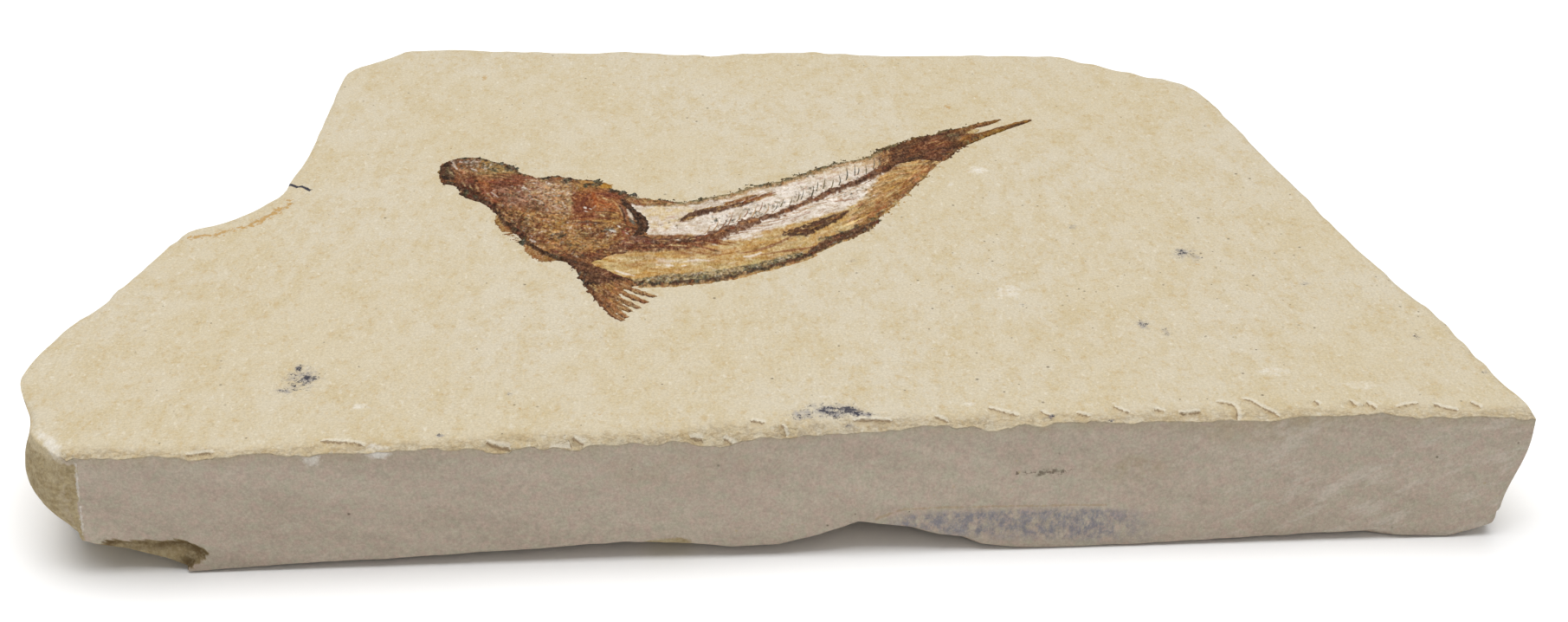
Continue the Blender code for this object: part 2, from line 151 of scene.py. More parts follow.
def near(path, x, y):
    """Distance from each point to a line of points, the share of the way along it at the nearest place, and how
    far to the left of it the point lies."""
    path = np.asarray(path, float)
    steps = np.linalg.norm(np.diff(path, axis=0), axis=1)
    done = np.concatenate([[0], np.cumsum(steps)])
    best = np.full(np.shape(x), np.inf)
    share, side = np.zeros(np.shape(x)), np.zeros(np.shape(x))
    for k, step in enumerate(steps):
        if step == 0:
            continue
        ax, ay = (path[k + 1] - path[k]) / step
        rx, ry = x - path[k, 0], y - path[k, 1]
        t = np.clip(rx * ax + ry * ay, 0, step)
        away = np.hypot(rx - t * ax, ry - t * ay)
        closer = away < best
        best = np.where(closer, away, best)
        share = np.where(closer, (done[k] + t) / done[-1], share)
        side = np.where(closer, ax * ry - ay * rx, side)
    return best, share, side


def within(outline, x, y):
    """Distance to a closed outline, positive inside it: the nearest edge, signed by counting crossings."""
    outline = np.asarray(outline, float)
    ring = np.vstack([outline, outline[:1]])
    away = near(ring, x, y)[0]
    inside = np.zeros(np.shape(x), bool)
    for (ax, ay), (bx, by) in zip(ring[:-1], ring[1:]):
        if ay != by:
            inside ^= ((ay > y) != (by > y)) & (x < (bx - ax) * (y - ay) / (by - ay) + ax)
    return np.where(inside, away, -away)


def linear(red, green, blue):
    """A display colour, 0 to 255, as scene-linear light."""
    c = np.array([red, green, blue]) / 255
    return np.where(c <= 0.04045, c / 12.92, ((c + 0.055) / 1.055) ** 2.4)


def placed(points):
    """Plan millimetres to the object's frame in metres."""
    return (np.asarray(points, float) - (*PLAN_MIDDLE, 0)) * MM


# ---- Meshes -----------------------------------------------------------------------------------------------
def new_piece(name, points, quads, caps=(), numbers=None, colours=None, crease=None):
    """A mesh object from plan points, four-cornered faces and a few many-cornered caps. numbers and colours are
    kept on its points by name, for the materials to read."""
    mesh = bpy.data.meshes.new(name)
    corners = np.concatenate([np.asarray(quads).ravel(), *caps]).astype(np.int32)
    sizes = np.concatenate([np.full(len(quads), 4), [len(c) for c in caps]]).astype(np.int32)
    mesh.vertices.add(len(points))
    mesh.vertices.foreach_set("co", placed(points).astype(np.float32).ravel())
    mesh.loops.add(len(corners))
    mesh.loops.foreach_set("vertex_index", corners)
    mesh.polygons.add(len(sizes))
    mesh.polygons.foreach_set("loop_start", (np.cumsum(sizes) - sizes).astype(np.int32))
    mesh.update(calc_edges=True)
    for key, values in (numbers or {}).items():
        mesh.attributes.new(key, "FLOAT", "POINT").data.foreach_set("value", np.asarray(values, np.float32).ravel())
    for key, values in (colours or {}).items():
        rgba = np.concatenate([values, np.ones((len(values), 1))], 1).astype(np.float32)
        mesh.attributes.new(key, "FLOAT_COLOR", "POINT").data.foreach_set("color", rgba.ravel())
    mesh.validate()
    mesh.shade_smooth()
    if crease:
        mesh.set_sharp_from_angle(angle=crease)
    piece = bpy.data.objects.new(name, mesh)
    bpy.context.scene.collection.objects.link(piece)
    return piece


def dress(piece, material, slot, *stands_for):
    piece.data.materials.append(material)
    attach(piece, "root")
    if stands_for:
        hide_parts(*stands_for)
    return piece


def mended(cells):
    """Fills both gaps wherever two kept cells touch only at a corner, so that the rim never pinches."""
    for _ in range(6):
        a, b, c, d = cells[:-1, :-1], cells[:-1, 1:], cells[1:, :-1], cells[1:, 1:]
        pinched = (a & d & ~b & ~c) | (b & c & ~a & ~d)
        if not pinched.any():
            break
        for part in (a, b, c, d):
            part |= pinched
    return cells


def relief_solid(x, y, top, floor, cells):
    """A closed solid: the kept cells of a grid as its upper face, the same cells on a level floor, and a wall
    round their rim."""
    index = np.arange(x.size).reshape(x.shape)
    quads = np.stack([index[:-1, :-1], index[:-1, 1:], index[1:, 1:], index[1:, :-1]], -1)[mended(cells)]
    used, quads = np.unique(quads, return_inverse=True)
    quads = quads.reshape(-1, 4)
    count = len(used)
    edges = np.stack([quads, np.roll(quads, -1, axis=1)], -1).reshape(-1, 2)
    forward, backward = edges @ (count, 1), edges @ (1, count)
    rim = edges[~np.isin(forward, backward)]
    walls = np.stack([rim[:, 1], rim[:, 0], rim[:, 0] + count, rim[:, 1] + count], 1)
    upper = np.stack([x.ravel()[used], y.ravel()[used], top.ravel()[used]], 1)
    lower = upper.copy()
    lower[:, 2] = floor
    return np.vstack([upper, lower]), np.vstack([quads, quads[:, ::-1] + count, walls]), used


# ---- The stone --------------------------------------------------------------------------------------------
# How far the worn arris over the sawn face hangs down; below zero, how far it has crumbled back instead.
ARRIS_WEAR = [
    (0, 0.2), (4.5, 0.55), (7, 0.1), (10.5, -0.4), (12, 0), (15, 0.35), (19, 0.1), (24.5, -0.2), (25.5, 0.15),
    (32, 0), (36.5, 0.5), (41, 0.2), (44, 0.1), (48.5, 0.55), (52, 0.85), (55, 0.6), (58.5, 0.9), (60, 1.25),
    (62.5, 0.6), (65, 0.45), (69, 0.9), (72.5, 0.55), (75, 1.0), (78.5, 1.4), (81.5, 1.0), (84, 0.6), (90, 0.7),
    (93, 1.1), (96.5, 0.7), (99, 0.8), (103, 0.5), (106, -0.2), (108, 0.25), (110.5, 0.6), (113, 1.05),
    (115, 0.6), (116.5, -0.1), (118.7, 0.3), (120, -0.2), (125, -0.2), (129, 0.15), (135, 0), (142, 0.35),
    (146, 0.3), (150.5, -0.2), (156, -0.15), (161, -0.45), (163.5, 0.1), (165.7, 0.6), (168.5, 0.1),
    (173.5, -0.2), (176.5, 0.2), (178.5, 0.4), (180, 0.1),
]
# Where small flakes have lifted off beside the arris, each as the line it broke along.
FLAKE_LINES = [
    xy(1120, 51, 1130, 48, 1142, 41, 1162, 31), xy(1186, 42, 1197, 31, 1204, 28),
    xy(1278, 47, 1289, 38, 1299, 30), xy(1327, 41, 1344, 34), xy(1356, 30, 1374, 30, 1390, 32),
    xy(1408, 49, 1418, 50, 1431, 42, 1431, 26, 1428, 12),
    xy(1440, 57, 1455, 51, 1463, 40, 1476, 27, 1484, 17), xy(1532, 49, 1539, 38),
    xy(1577, 47, 1586, 33), xy(1596, 43, 1609, 28), xy(1630, 27, 1648, 33, 1665, 36),
    xy(1678, 34, 1693, 24, 1710, 20), xy(1726, 36, 1740, 22), xy(500, 7, 536, 1),
    xy(578, -2, 610, 3), xy(606, 14, 624, 3), xy(748, 9, 770, 9), xy(790, 14, 812, 0),
    xy(824, 38, 846, 29), xy(863, 27, 870, 12), xy(1052, 37, 1072, 26), xy(140, -3, 180, -2),
    xy(300, 16, 340, 11, 360, 3), xy(950, 32, 980, 34, 1004, 30), xy(1230, 36, 1250, 26),
]


def stone_top(x, y):
    """Height of the bedding plane: level, with faint swells, and a thin lamina gone beside the notch."""
    height = SLAB_TOP - 0.05 + 0.04 * cloud(x, y, 14, seed=3, octaves=3)
    ragged = within(LAMINA, x, y) + 0.5 * cloud(x, y, 2.2, seed=8)
    return height - LAMINA_DEPTH * smooth(-0.25, 0.35, ragged)


def bedding_offset(along, depth, broken):
    """How far a broken side stands out at each depth. Every bedding plane shifts it in or out by an amount that
    wanders along the edge; thin laminae and a rough fracture grain come on top."""
    offset = np.zeros(np.broadcast(along, depth).shape)
    for k, plane in enumerate((4.2, 8.6, 13.0)):
        wander = np.sin(along / (11.0 + 4.5 * k) + 2.1 * k) + 0.6 * np.sin(along / (5.3 + 1.7 * k) + k)
        offset += 0.78 * wander * smooth(plane - 0.25, plane + 0.25, depth)
    for k, plane in enumerate((1.6, 2.7, 5.9, 7.1, 10.2, 11.6, 14.6, 16.2)):
        level = plane + 0.3 * ripple(along, 0 * along, 17.0, seed=40 + k)
        wander = ripple(along, 0 * along, 6.5, seed=60 + k) + 0.5 * ripple(along, 0 * along, 2.1, seed=80 + k)
        offset += 0.28 * wander * smooth(level - 0.18, level + 0.18, depth)
    offset += 0.35 * cloud(along, depth, 3.2, seed=5) + 0.1 * ripple(along, depth * 2, 0.9, seed=6)
    return offset * broken


def corner_offset(corner, along, depth):
    """The weathered left corner swells out below the arris and is drawn in again towards its foot."""
    swell = 1.9 * np.sin(math.pi * np.minimum(depth, 12) / 12) - 2.6 * smooth(9, 18, depth)
    return corner * (swell + 0.3 * cloud(along, depth, 4.0, seed=21))


def slab_sides(edge, along, broken, corner, arris_height):
    """Rings of points down the sides, from just under the arris to the resting plane: the ring's depth runs
    evenly down to the foot, and then a flake scar curves in under the slab. The sawn face leans out to one
    straight line at its foot."""
    away = edge - SLAB_MIDDLE
    away /= np.linalg.norm(away, axis=1)[:, None]
    x, y = edge[:, 0], edge[:, 1]
    wander = BROKEN_FOOT * (1 + 0.8 * np.sin(along / 7.0) * np.sin(along / 19.0 + 1.0))
    wander += 0.5 * np.abs(ripple(along, 0 * along, 3.1, seed=12))
    sawn_foot = np.interp(x, *np.transpose(FRONT_FOOT)) + 0.15 * cloud(x, 0 * x, 4.0, seed=13)
    foot = np.maximum(sawn_foot * (1 - broken) + wander * broken, 0.25)
    start = SLAB_TOP - arris_height
    calm = smooth(40, 26, y) * smooth(0, -2, x)
    rings = []
    for share in np.linspace(0, 1, 34)[1:] ** 1.25:
        depth = start + (SLAB_TOP - foot - start) * share
        fresh = smooth(0, 1.2, depth - start)
        out = bedding_offset(along, depth, broken) * fresh * (1 - 0.7 * calm) - 0.9 * calm * fresh * (1 - corner)
        out += corner_offset(corner, along, depth)
        out -= 2.0 * smooth(SLAB_LENGTH - 3, SLAB_LENGTH, x) * smooth(3, 15, depth)
        out += (1 - broken) * (0.05 * cloud(x, depth, 9.0, seed=22) - 0.12 * smooth(0.97, 1.0, share))
        out -= scar_depth(x, depth) * (1 - broken)
        ring = edge + away * out[:, None]
        ring[:, 1] -= y * (1 - broken) * (1 - corner) * smooth(0, 1, share)
        rings.append(np.column_stack([ring, SLAB_TOP - depth]))
    last = rings[-1]
    for share in (0.3, 0.6, 0.85, 1.0):
        inward = (0.4 + FOOT_RUN * foot) * share
        lift = foot * (1 - share) ** 1.6 + 0.12 * (1 - share) * cloud(along, 0 * along + 9 * share, 2.0, seed=23)
        rings.append(np.column_stack([last[:, :2] - away * inward[:, None], np.maximum(lift, 0)]))
    rings[-1][:, 2] = 0
    return rings


def scar_inset(x, depth):
    """How far inside the flake scar at the lower left of the sawn face a place is: below its upper edge, and left
    of its right edge."""
    upper = depth - np.interp(x, (0, 1.5, 3, 6, 12, 13.5, 15.6, 18), (13.2, 13.2, 12.7, 13.0, 12.9, 13.7, 15.2, 18.5))
    right = np.interp(depth, (12, 15.4, 16, 18.3), (17, 15.6, 14.9, 12.3)) - x
    return np.minimum(upper, 0.6 * right) + 0.25 * ripple(x, depth, 1.3, seed=9)


def scar_depth(x, depth):
    """The hollow of that scar: it drops in along its upper edge, deepest in the middle."""
    return 1.1 * smooth(0, 4, x) * smooth(16, 11, x) * smooth(-0.1, 1.2, scar_inset(x, depth))


def flakes(x, y):
    """How much has flaked off in front of each flake line, a step down at the line that fades towards the sawn
    face, and the distance to the left of the nearest line, drawn out at both ends so that marks taper there."""
    drop, crack = np.zeros(x.shape), np.full(x.shape, 2 * FAR_OFF)
    for k, path in enumerate(FLAKE_LINES):
        away, share, side = near(spline(path, count=12), x, y)
        ends = smooth(0, 0.15, share) * smooth(1, 0.85, share)
        step = (0.28 + 0.1 * math.sin(5 * k)) * smooth(0.12, -0.12, side) * smooth(2.6, 0.6, away)
        drop = np.maximum(drop, step * ends)
        drawn_out = away + 0.35 * (1 - ends) + FAR_OFF * (smooth(0.9, 1.6, away) + 1 - smooth(0, 0.02, ends))
        crack = np.where(drawn_out < np.abs(crack), np.where(side < 0, -1, 1) * drawn_out, crack)
    return drop, crack


def chipped_arris(x, y):
    """How far the upper surface has worn and flaked down beside each edge, how crumbled it is there, and the
    distance to the nearest flake line. Along the sawn face it is a crumbled quarter round, elsewhere a thin worn
    edge."""
    front = near(spline(SAWN_FRONT, count=91), x, y)[0]
    rest = near(spline(np.vstack([BROKEN_RIGHT, BROKEN_BACK[::-1][1:], BROKEN_LEFT[::-1][1:]]), count=260), x, y)[0]
    wear = np.interp(x, *np.transpose(ARRIS_WEAR)) + 0.5 * cloud(x, 0 * x, 2.2, seed=30, octaves=3)
    wear = np.maximum(wear, 0.08)
    width = np.maximum(0.7 + 1.2 * wear + 0.5 * ripple(x, 0 * x, 5.0, seed=31) + 0.8 * smooth(95, 130, x), 0.5)
    drop = wear * np.clip(1 - front / width, 0, 1) ** 1.6
    crumbled = smooth(width + 1.8, width * 0.3, front)
    drop += 0.16 * crumbled * (1 + cloud(x, 1.4 * y, 1.5, seed=34, octaves=3))
    plates = np.round(2.2 * cloud(x, 1.6 * y, 3.4, seed=35, octaves=3)) / 2.2
    drop += 0.24 * np.maximum(plates, 0) * crumbled
    flaked, crack = flakes(x, y)
    worn = np.maximum(0.7 + 0.5 * ripple(x, y, 4.0, seed=36), 0.3)
    drop += flaked + (0.3 + 0.2 * ripple(x, y, 2.5, seed=37)) * np.clip(1 - rest / worn, 0, 1) ** 1.4
    return drop, crumbled, crack


COLUMNS, ROWS = 401, 132  # points along the upper face, and steps back across it


def limestone_mesh():
    """The slab as one closed surface. Its upper face is blended between the four edges on a grid of two shares,
    with rows close together at the sawn face; its sides hang from that face's rim."""
    gaps = np.interp(np.arange(ROWS), (0, 24, 46, ROWS - 1), (0.2, 0.28, 0.85, 1.15))
    shares = np.concatenate([[0], np.cumsum(gaps)]) / gaps.sum()
    front = spline(SAWN_FRONT, count=COLUMNS)
    back = spline(BROKEN_BACK, count=COLUMNS)
    left = spline(BROKEN_LEFT, shares=shares)
    right = spline(BROKEN_RIGHT, shares=shares)
    inner = front[1:-1]
    inner[:, 1] += 0.16 * cloud(inner[:, 0], 0 * inner[:, 0], 3.0, seed=15)
    inner[:, 1] += 1.5 * np.maximum(-np.interp(inner[:, 0], *np.transpose(ARRIS_WEAR)), 0)
    u = np.linspace(0, 1, COLUMNS)[None, :, None]
    v = shares[:, None, None]
    corners = (1 - u) * (1 - v) * front[0] + u * (1 - v) * front[-1] + (1 - u) * v * back[0] + u * v * back[-1]
    grid = (1 - v) * front + v * back + (1 - u) * left[:, None] + u * right[:, None] - corners
    x, y = grid[..., 0], grid[..., 1]
    drop, crumbled, crack = chipped_arris(x, y)
    top = np.column_stack([x.ravel(), y.ravel(), (stone_top(x, y) - drop).ravel()])

    index = np.arange(x.size).reshape(x.shape)
    faces = [np.stack([index[:-1, :-1], index[:-1, 1:], index[1:, 1:], index[1:, :-1]], -1).reshape(-1, 4)]
    rim = np.concatenate([index[0, :-1], index[:-1, -1], index[-1, :0:-1], index[:0:-1, 0]])
    edge = top[rim, :2]
    along = np.concatenate([[0], np.cumsum(np.linalg.norm(np.diff(edge, axis=0), axis=1))])
    on_front = np.arange(len(rim)) < COLUMNS
    corner = smooth(0, 1.0, along[-1] - along) * smooth(17, 6, edge[:, 1]) * smooth(4, -4, edge[:, 0])
    corner[on_front] = 0
    broken = np.where(on_front, 0.0, smooth(1.5, 9.0, edge[:, 1]))
    rings = slab_sides(edge, along, broken, corner, top[rim, 2])

    points, previous = [top], rim
    count = len(top)
    for ring in rings:
        current = count + np.arange(len(rim))
        faces.append(np.stack([previous, current, np.roll(current, -1), np.roll(previous, -1)], 1))
        points.append(ring)
        previous, count = current, count + len(rim)
    points = np.vstack(points)

    def spread(values, upper=0.0):
        """One number for each point of a ring, repeated down the sides, with upper on the top face."""
        return np.concatenate([np.zeros(len(top)) + upper, np.tile(values, len(rings))])

    side = spread(np.ones(len(rim)))
    marks = {"side": side, "sawn": spread(1 - np.maximum(broken, corner))}
    marks["crumbled"] = spread(np.zeros(len(rim)), crumbled.ravel())
    marks["flake_line"] = spread(np.full(len(rim), 2 * FAR_OFF), crack.ravel())
    marks.update(stone_marks(points, side, spread(corner)))
    return points, np.vstack(faces), [previous[::-1]], marks


# Spots on the upper face: middle, half lengths, turn in degrees, strength.
MANGANESE_SPOTS = [
    ((89.4, 4.5), (1.9, 1.2), 0, 0.5), ((92.1, 5.6), (1.3, 0.8), 30, 0.8), ((93.2, 4.6), (1.2, 0.8), -30, 0.74),
    ((94.4, 5.4), (1.3, 0.9), 40, 0.76), ((95.8, 4.8), (1.2, 0.7), -30, 0.8), ((97.2, 4.3), (0.9, 0.4), 0, 0.6),
    ((93.4, 5.2), (3.6, 1.8), 0, 0.42), ((90.4, 6.6), (0.9, 0.5), 30, 0.4), ((94.9, 2.6), (0.7, 0.4), 0, 0.4),
    ((25.0, 18.4), (0.5, 0.8), 0, 0.85), ((26.6, 16.0), (1.2, 1.1), 0, 0.85), ((24.2, 13.2), (1.2, 0.7), 0, 0.6),
    ((25.8, 16), (2.2, 2.8), 0, 0.42),
    ((145.2, 44), (1.8, 1.3), 30, 0.56), ((146.6, 42.6), (1.1, 0.9), 0, 0.5), ((131, 52.6), (0.6, 0.6), 0, 0.5),
    ((160, 34.6), (0.7, 0.6), 0, 0.5), ((135.6, 24.6), (0.8, 1.3), 0, 0.58), ((138.4, 22.4), (0.6, 0.8), 0, 0.5),
    ((120.5, 30), (0.5, 0.5), 0, 0.45), ((171, 19.6), (0.6, 0.9), 0, 0.5), ((177, 10.4), (0.6, 0.5), 0, 0.45),
    ((94.5, 42.6), (1.0, 0.5), 15, 0.4), ((98, 43.8), (1.1, 0.4), 10, 0.35), ((44.6, 2), (0.6, 0.4), 0, 0.7),
    ((52.5, 11), (0.3, 0.4), 0, 0.6), ((119.9, 3), (0.6, 0.4), 0, 0.6), ((154.4, 1.9), (0.9, 0.3), 0, 0.3),
    ((127.3, 1.8), (0.4, 0.3), 0, 0.6),
]
OCHRE_SPOTS = [
    ((42, 110.5), (0.7, 1.4), 0, 0.6), ((117.5, 95), (0.8, 0.9), 0, 0.6), ((146.8, 40.6), (0.6, 0.7), 0, 0.6),
    ((64, 6), (2.2, 1.0), 0, 0.25), ((54, 8), (3.0, 1.5), 0, 0.25), ((20, 45), (1.6, 1.2), 0, 0.3),
]
CHALK_SPOTS = [
    ((37.2, 0.2), (1.5, 0.7), 0, 0.45), ((-2.6, 2.9), (3.6, 0.8), -52, 0.55),
    ((119.6, 71.8), (1.7, 1.4), 0, 0.55), ((115, 67.5), (0.5, 0.9), 0, 0.5), ((34, 9), (1.2, 0.7), 0, 0.5),
    ((92, 8.6), (0.9, 0.4), 0, 0.45), ((110, 6), (1.2, 0.7), 0, 0.35), ((119, 34), (2.0, 2.2), 0, 0.4),
    ((150, 12), (2.5, 1.5), 0, 0.35), ((160, 8), (2.5, 1.4), 0, 0.35),
]
CHALK_ON_FACE = [((29.4, 1.3), (1.3, 1.0), 0, 0.5), ((37.6, 0.7), (1.3, 0.7), 0, 0.75)]  # x, depth
OLIVE_SPOTS = [((130, 7), (4.5, 1.6), 0, 1.0), ((146, 2), (9, 1.8), 0, 0.8), ((72, 4), (14, 2.5), 0, 0.4)]  # x, depth
OCHRE_LINE = xy(
    176, 676, 166, 666, 160, 654, 149, 636, 145, 616, 132, 610, 122, 592, 110, 586, 90, 576, 76, 564, 54, 560,
    30, 552,
)
CRACK = xy(149, 729, 160, 720, 176, 712, 194, 699)
DOTTED_LINE = xy(1154, 72, 1190, 73, 1234, 72)  # x, depth
CORNER_LINE = xy(12, 10, 8, 40, 5, 80, 1, 124)  # x, depth
ARCHED_LINE = xy(974, 133, 996, 124, 1025, 117, 1120, 118, 1210, 120, 1280, 121)  # x, depth


def spots(table, x, y):
    """Strength of a table of oval spots at each point: strongest in the middle of each, falling as a bell."""
    total = np.zeros(np.shape(x))
    for (middle_x, middle_y), (half_x, half_y), turn, strength in table:
        turn = math.radians(turn)
        dx, dy = x - middle_x, y - middle_y
        u = (dx * math.cos(turn) + dy * math.sin(turn)) / half_x
        v = (dy * math.cos(turn) - dx * math.sin(turn)) / half_y
        total = np.maximum(total, strength * np.exp(-0.8 * (u * u + v * v) ** 1.5))
    return total


def from_line(path, x, y, here):
    """Distance to the left of a line, which the materials turn into a thin mark. Its size is made very large a
    little way off, past both ends and where here is 0, so that no mark runs on."""
    away, share, side = near(spline(path, count=40), x, y)
    ends = smooth(0, 0.02, share) * smooth(1, 0.98, share)
    return np.where(side < 0, -1, 1) * (away + FAR_OFF * (smooth(2, 3.5, away) + 1 - ends * here))


def stone_marks(points, side, corner):
    """The stains on the stone, and the painted shade under the arris, in the crack and under the scar's lip, each as
    a strength, or a distance for a line, at every point.
    """
    x, y, z = points.T
    depth = SLAB_TOP - z
    upper, front = 1 - side, side * smooth(6, 2, y) * (1 - corner)
    arch = np.interp(x, (96, 98, 101, 108, 125, 136), (13.6, 12.9, 12.2, 11.9, 12.1, 12.8))
    blue = smooth(arch, arch + 0.8, depth) * smooth(98, 102, x) * smooth(137, 125, x)
    blue *= smooth(17.6, 15.2, depth + 0.08 * (116 - x))
    low = smooth(68.6, 69.4, x) * smooth(76, 73.5, x) * smooth(14.9, 15.3, depth)
    inset = scar_inset(x, depth)
    scar = front * smooth(0, 0.35, inset) * smooth(0.9, 1.6, x)
    beside = (side - corner) * smooth(6, 2, y) * smooth(0.1, -0.1, x - np.interp(depth, (1.4, 5, 12),
        (1.1, 0.6, 0.1)))
    return {
        "manganese": spots(MANGANESE_SPOTS, x, y) * upper,
        "peppered": (0.25 * smooth(90, 110, x) * smooth(12, 24, y) * smooth(72, 55, y) - 0.12) * upper - 0.2 * side,
        "ochre": spots(OCHRE_SPOTS, x, y) * upper,
        "chalk": spots(CHALK_SPOTS, x, y) * np.where(side > 0, smooth(2.4, 0.4, depth), 1)
        + spots(CHALK_ON_FACE, x, depth) * front,
        "olive": spots(OLIVE_SPOTS, x, depth) * front,
        "blue_grey": blue * front,
        "patina": np.maximum(np.maximum(corner, beside) * smooth(0.9, 2.0, depth), scar),
        "scar_lip_shadow": scar * smooth(2.6, 0.9, inset),
        "low_patina": low * front,
        "streaky": smooth(128, 155, x) * front,
        "shaded": smooth(2.6, 0, depth) * front,
        "ochre_line": from_line(OCHRE_LINE, x, y, upper),
        "crack": from_line(CRACK, x, y, upper),
        "dotted_line": from_line(DOTTED_LINE, x, depth, front),
        "corner_line": from_line(CORNER_LINE, x, depth, front),
        "arched_line": from_line(ARCHED_LINE, x, depth, front),
        "notch_band": upper * smooth(-0.3, 0.4, within(LAMINA, x, y)),
    }


# ---- Materials --------------------------------------------------------------------------------------------
class Mix:
    """Small helpers that add nodes to one material and join them up."""

    def __init__(self, name):
        self.material = bpy.data.materials.new(name)
        self.material.use_nodes = True
        self.tree = self.material.node_tree
        self.shader = self.tree.nodes["Principled BSDF"]
        self.object = self.node("ShaderNodeTexCoord").outputs["Object"]

    def node(self, kind, **settings):
        node = self.tree.nodes.new(kind)
        for key, value in settings.items():
            setattr(node, key, value)
        return node

    def join(self, source, socket):
        if isinstance(source, bpy.types.NodeSocket):
            self.tree.links.new(source, socket)
        else:
            socket.default_value = source

    def sum(self, operation, *values):
        node = self.node("ShaderNodeMath", operation=operation)
        for value, socket in zip(values, node.inputs):
            self.join(value, socket)
        return node.outputs[0]

    def times(self, first, second):
        return self.sum("MULTIPLY", first, second)

    def plus(self, first, second):
        return self.sum("ADD", first, second)

    def stretched(self, lengths, turn=(0, 0, 0)):
        """Object coordinates turned, then drawn out by a length along each axis."""
        node = self.node("ShaderNodeMapping", vector_type="TEXTURE")
        node.inputs["Scale"].default_value = lengths
        node.inputs["Rotation"].default_value = turn
        self.join(self.object, node.inputs["Vector"])
        return node.outputs[0]

    def noise(self, size, detail=3.0, rough=0.55, where=None):
        """Noise whose blobs are about size millimetres across."""
        node = self.node("ShaderNodeTexNoise")
        self.join(where or self.object, node.inputs["Vector"])
        node.inputs["Scale"].default_value = 1 / (size * MM)
        node.inputs["Detail"].default_value = detail
        node.inputs["Roughness"].default_value = rough
        return node.outputs["Fac"]

    def cells(self, size, where=None):
        """Distance from scattered points about size millimetres apart, and two random numbers for each."""
        node = self.node("ShaderNodeTexVoronoi")
        self.join(where or self.object, node.inputs["Vector"])
        node.inputs["Scale"].default_value = 1 / (size * MM)
        split = self.node("ShaderNodeSeparateColor")
        self.join(node.outputs["Color"], split.inputs[0])
        return node.outputs["Distance"], split.outputs[0], split.outputs[1]

    def ramp(self, value, low, high, start=0.0, end=1.0):
        node = self.node("ShaderNodeMapRange", clamp=True)
        self.join(value, node.inputs["Value"])
        for key, number in (("From Min", low), ("From Max", high), ("To Min", start), ("To Max", end)):
            node.inputs[key].default_value = number
        return node.outputs["Result"]

    def blend(self, share, first, second, mode="MIX"):
        node = self.node("ShaderNodeMix", data_type="RGBA", blend_type=mode, clamp_factor=True)
        self.join(share, node.inputs[0])
        for value, socket in ((first, node.inputs[6]), (second, node.inputs[7])):
            self.join((*value, 1) if not isinstance(value, bpy.types.NodeSocket) else value, socket)
        return node.outputs[2]

    def deepened(self, colour, power):
        """Raises a colour to a power: above 1 darker and richer, below 1 paler. White hardly changes."""
        node = self.node("ShaderNodeGamma")
        self.join(colour, node.inputs[0])
        self.join(power, node.inputs[1])
        return node.outputs[0]

    def grey(self, value):
        node = self.node("ShaderNodeCombineColor")
        for socket in node.inputs[:3]:
            self.join(value, socket)
        return node.outputs[0]

    def mark(self, name, output="Fac"):
        """A number kept on the mesh by name, or a colour."""
        return self.node("ShaderNodeAttribute", attribute_name=name).outputs[output]

    def bumped(self, height, distance, below=None):
        node = self.node("ShaderNodeBump")
        node.inputs["Distance"].default_value = distance * MM
        self.join(height, node.inputs["Height"])
        if below is not None:
            self.join(below, node.inputs["Normal"])
        return node.outputs["Normal"]


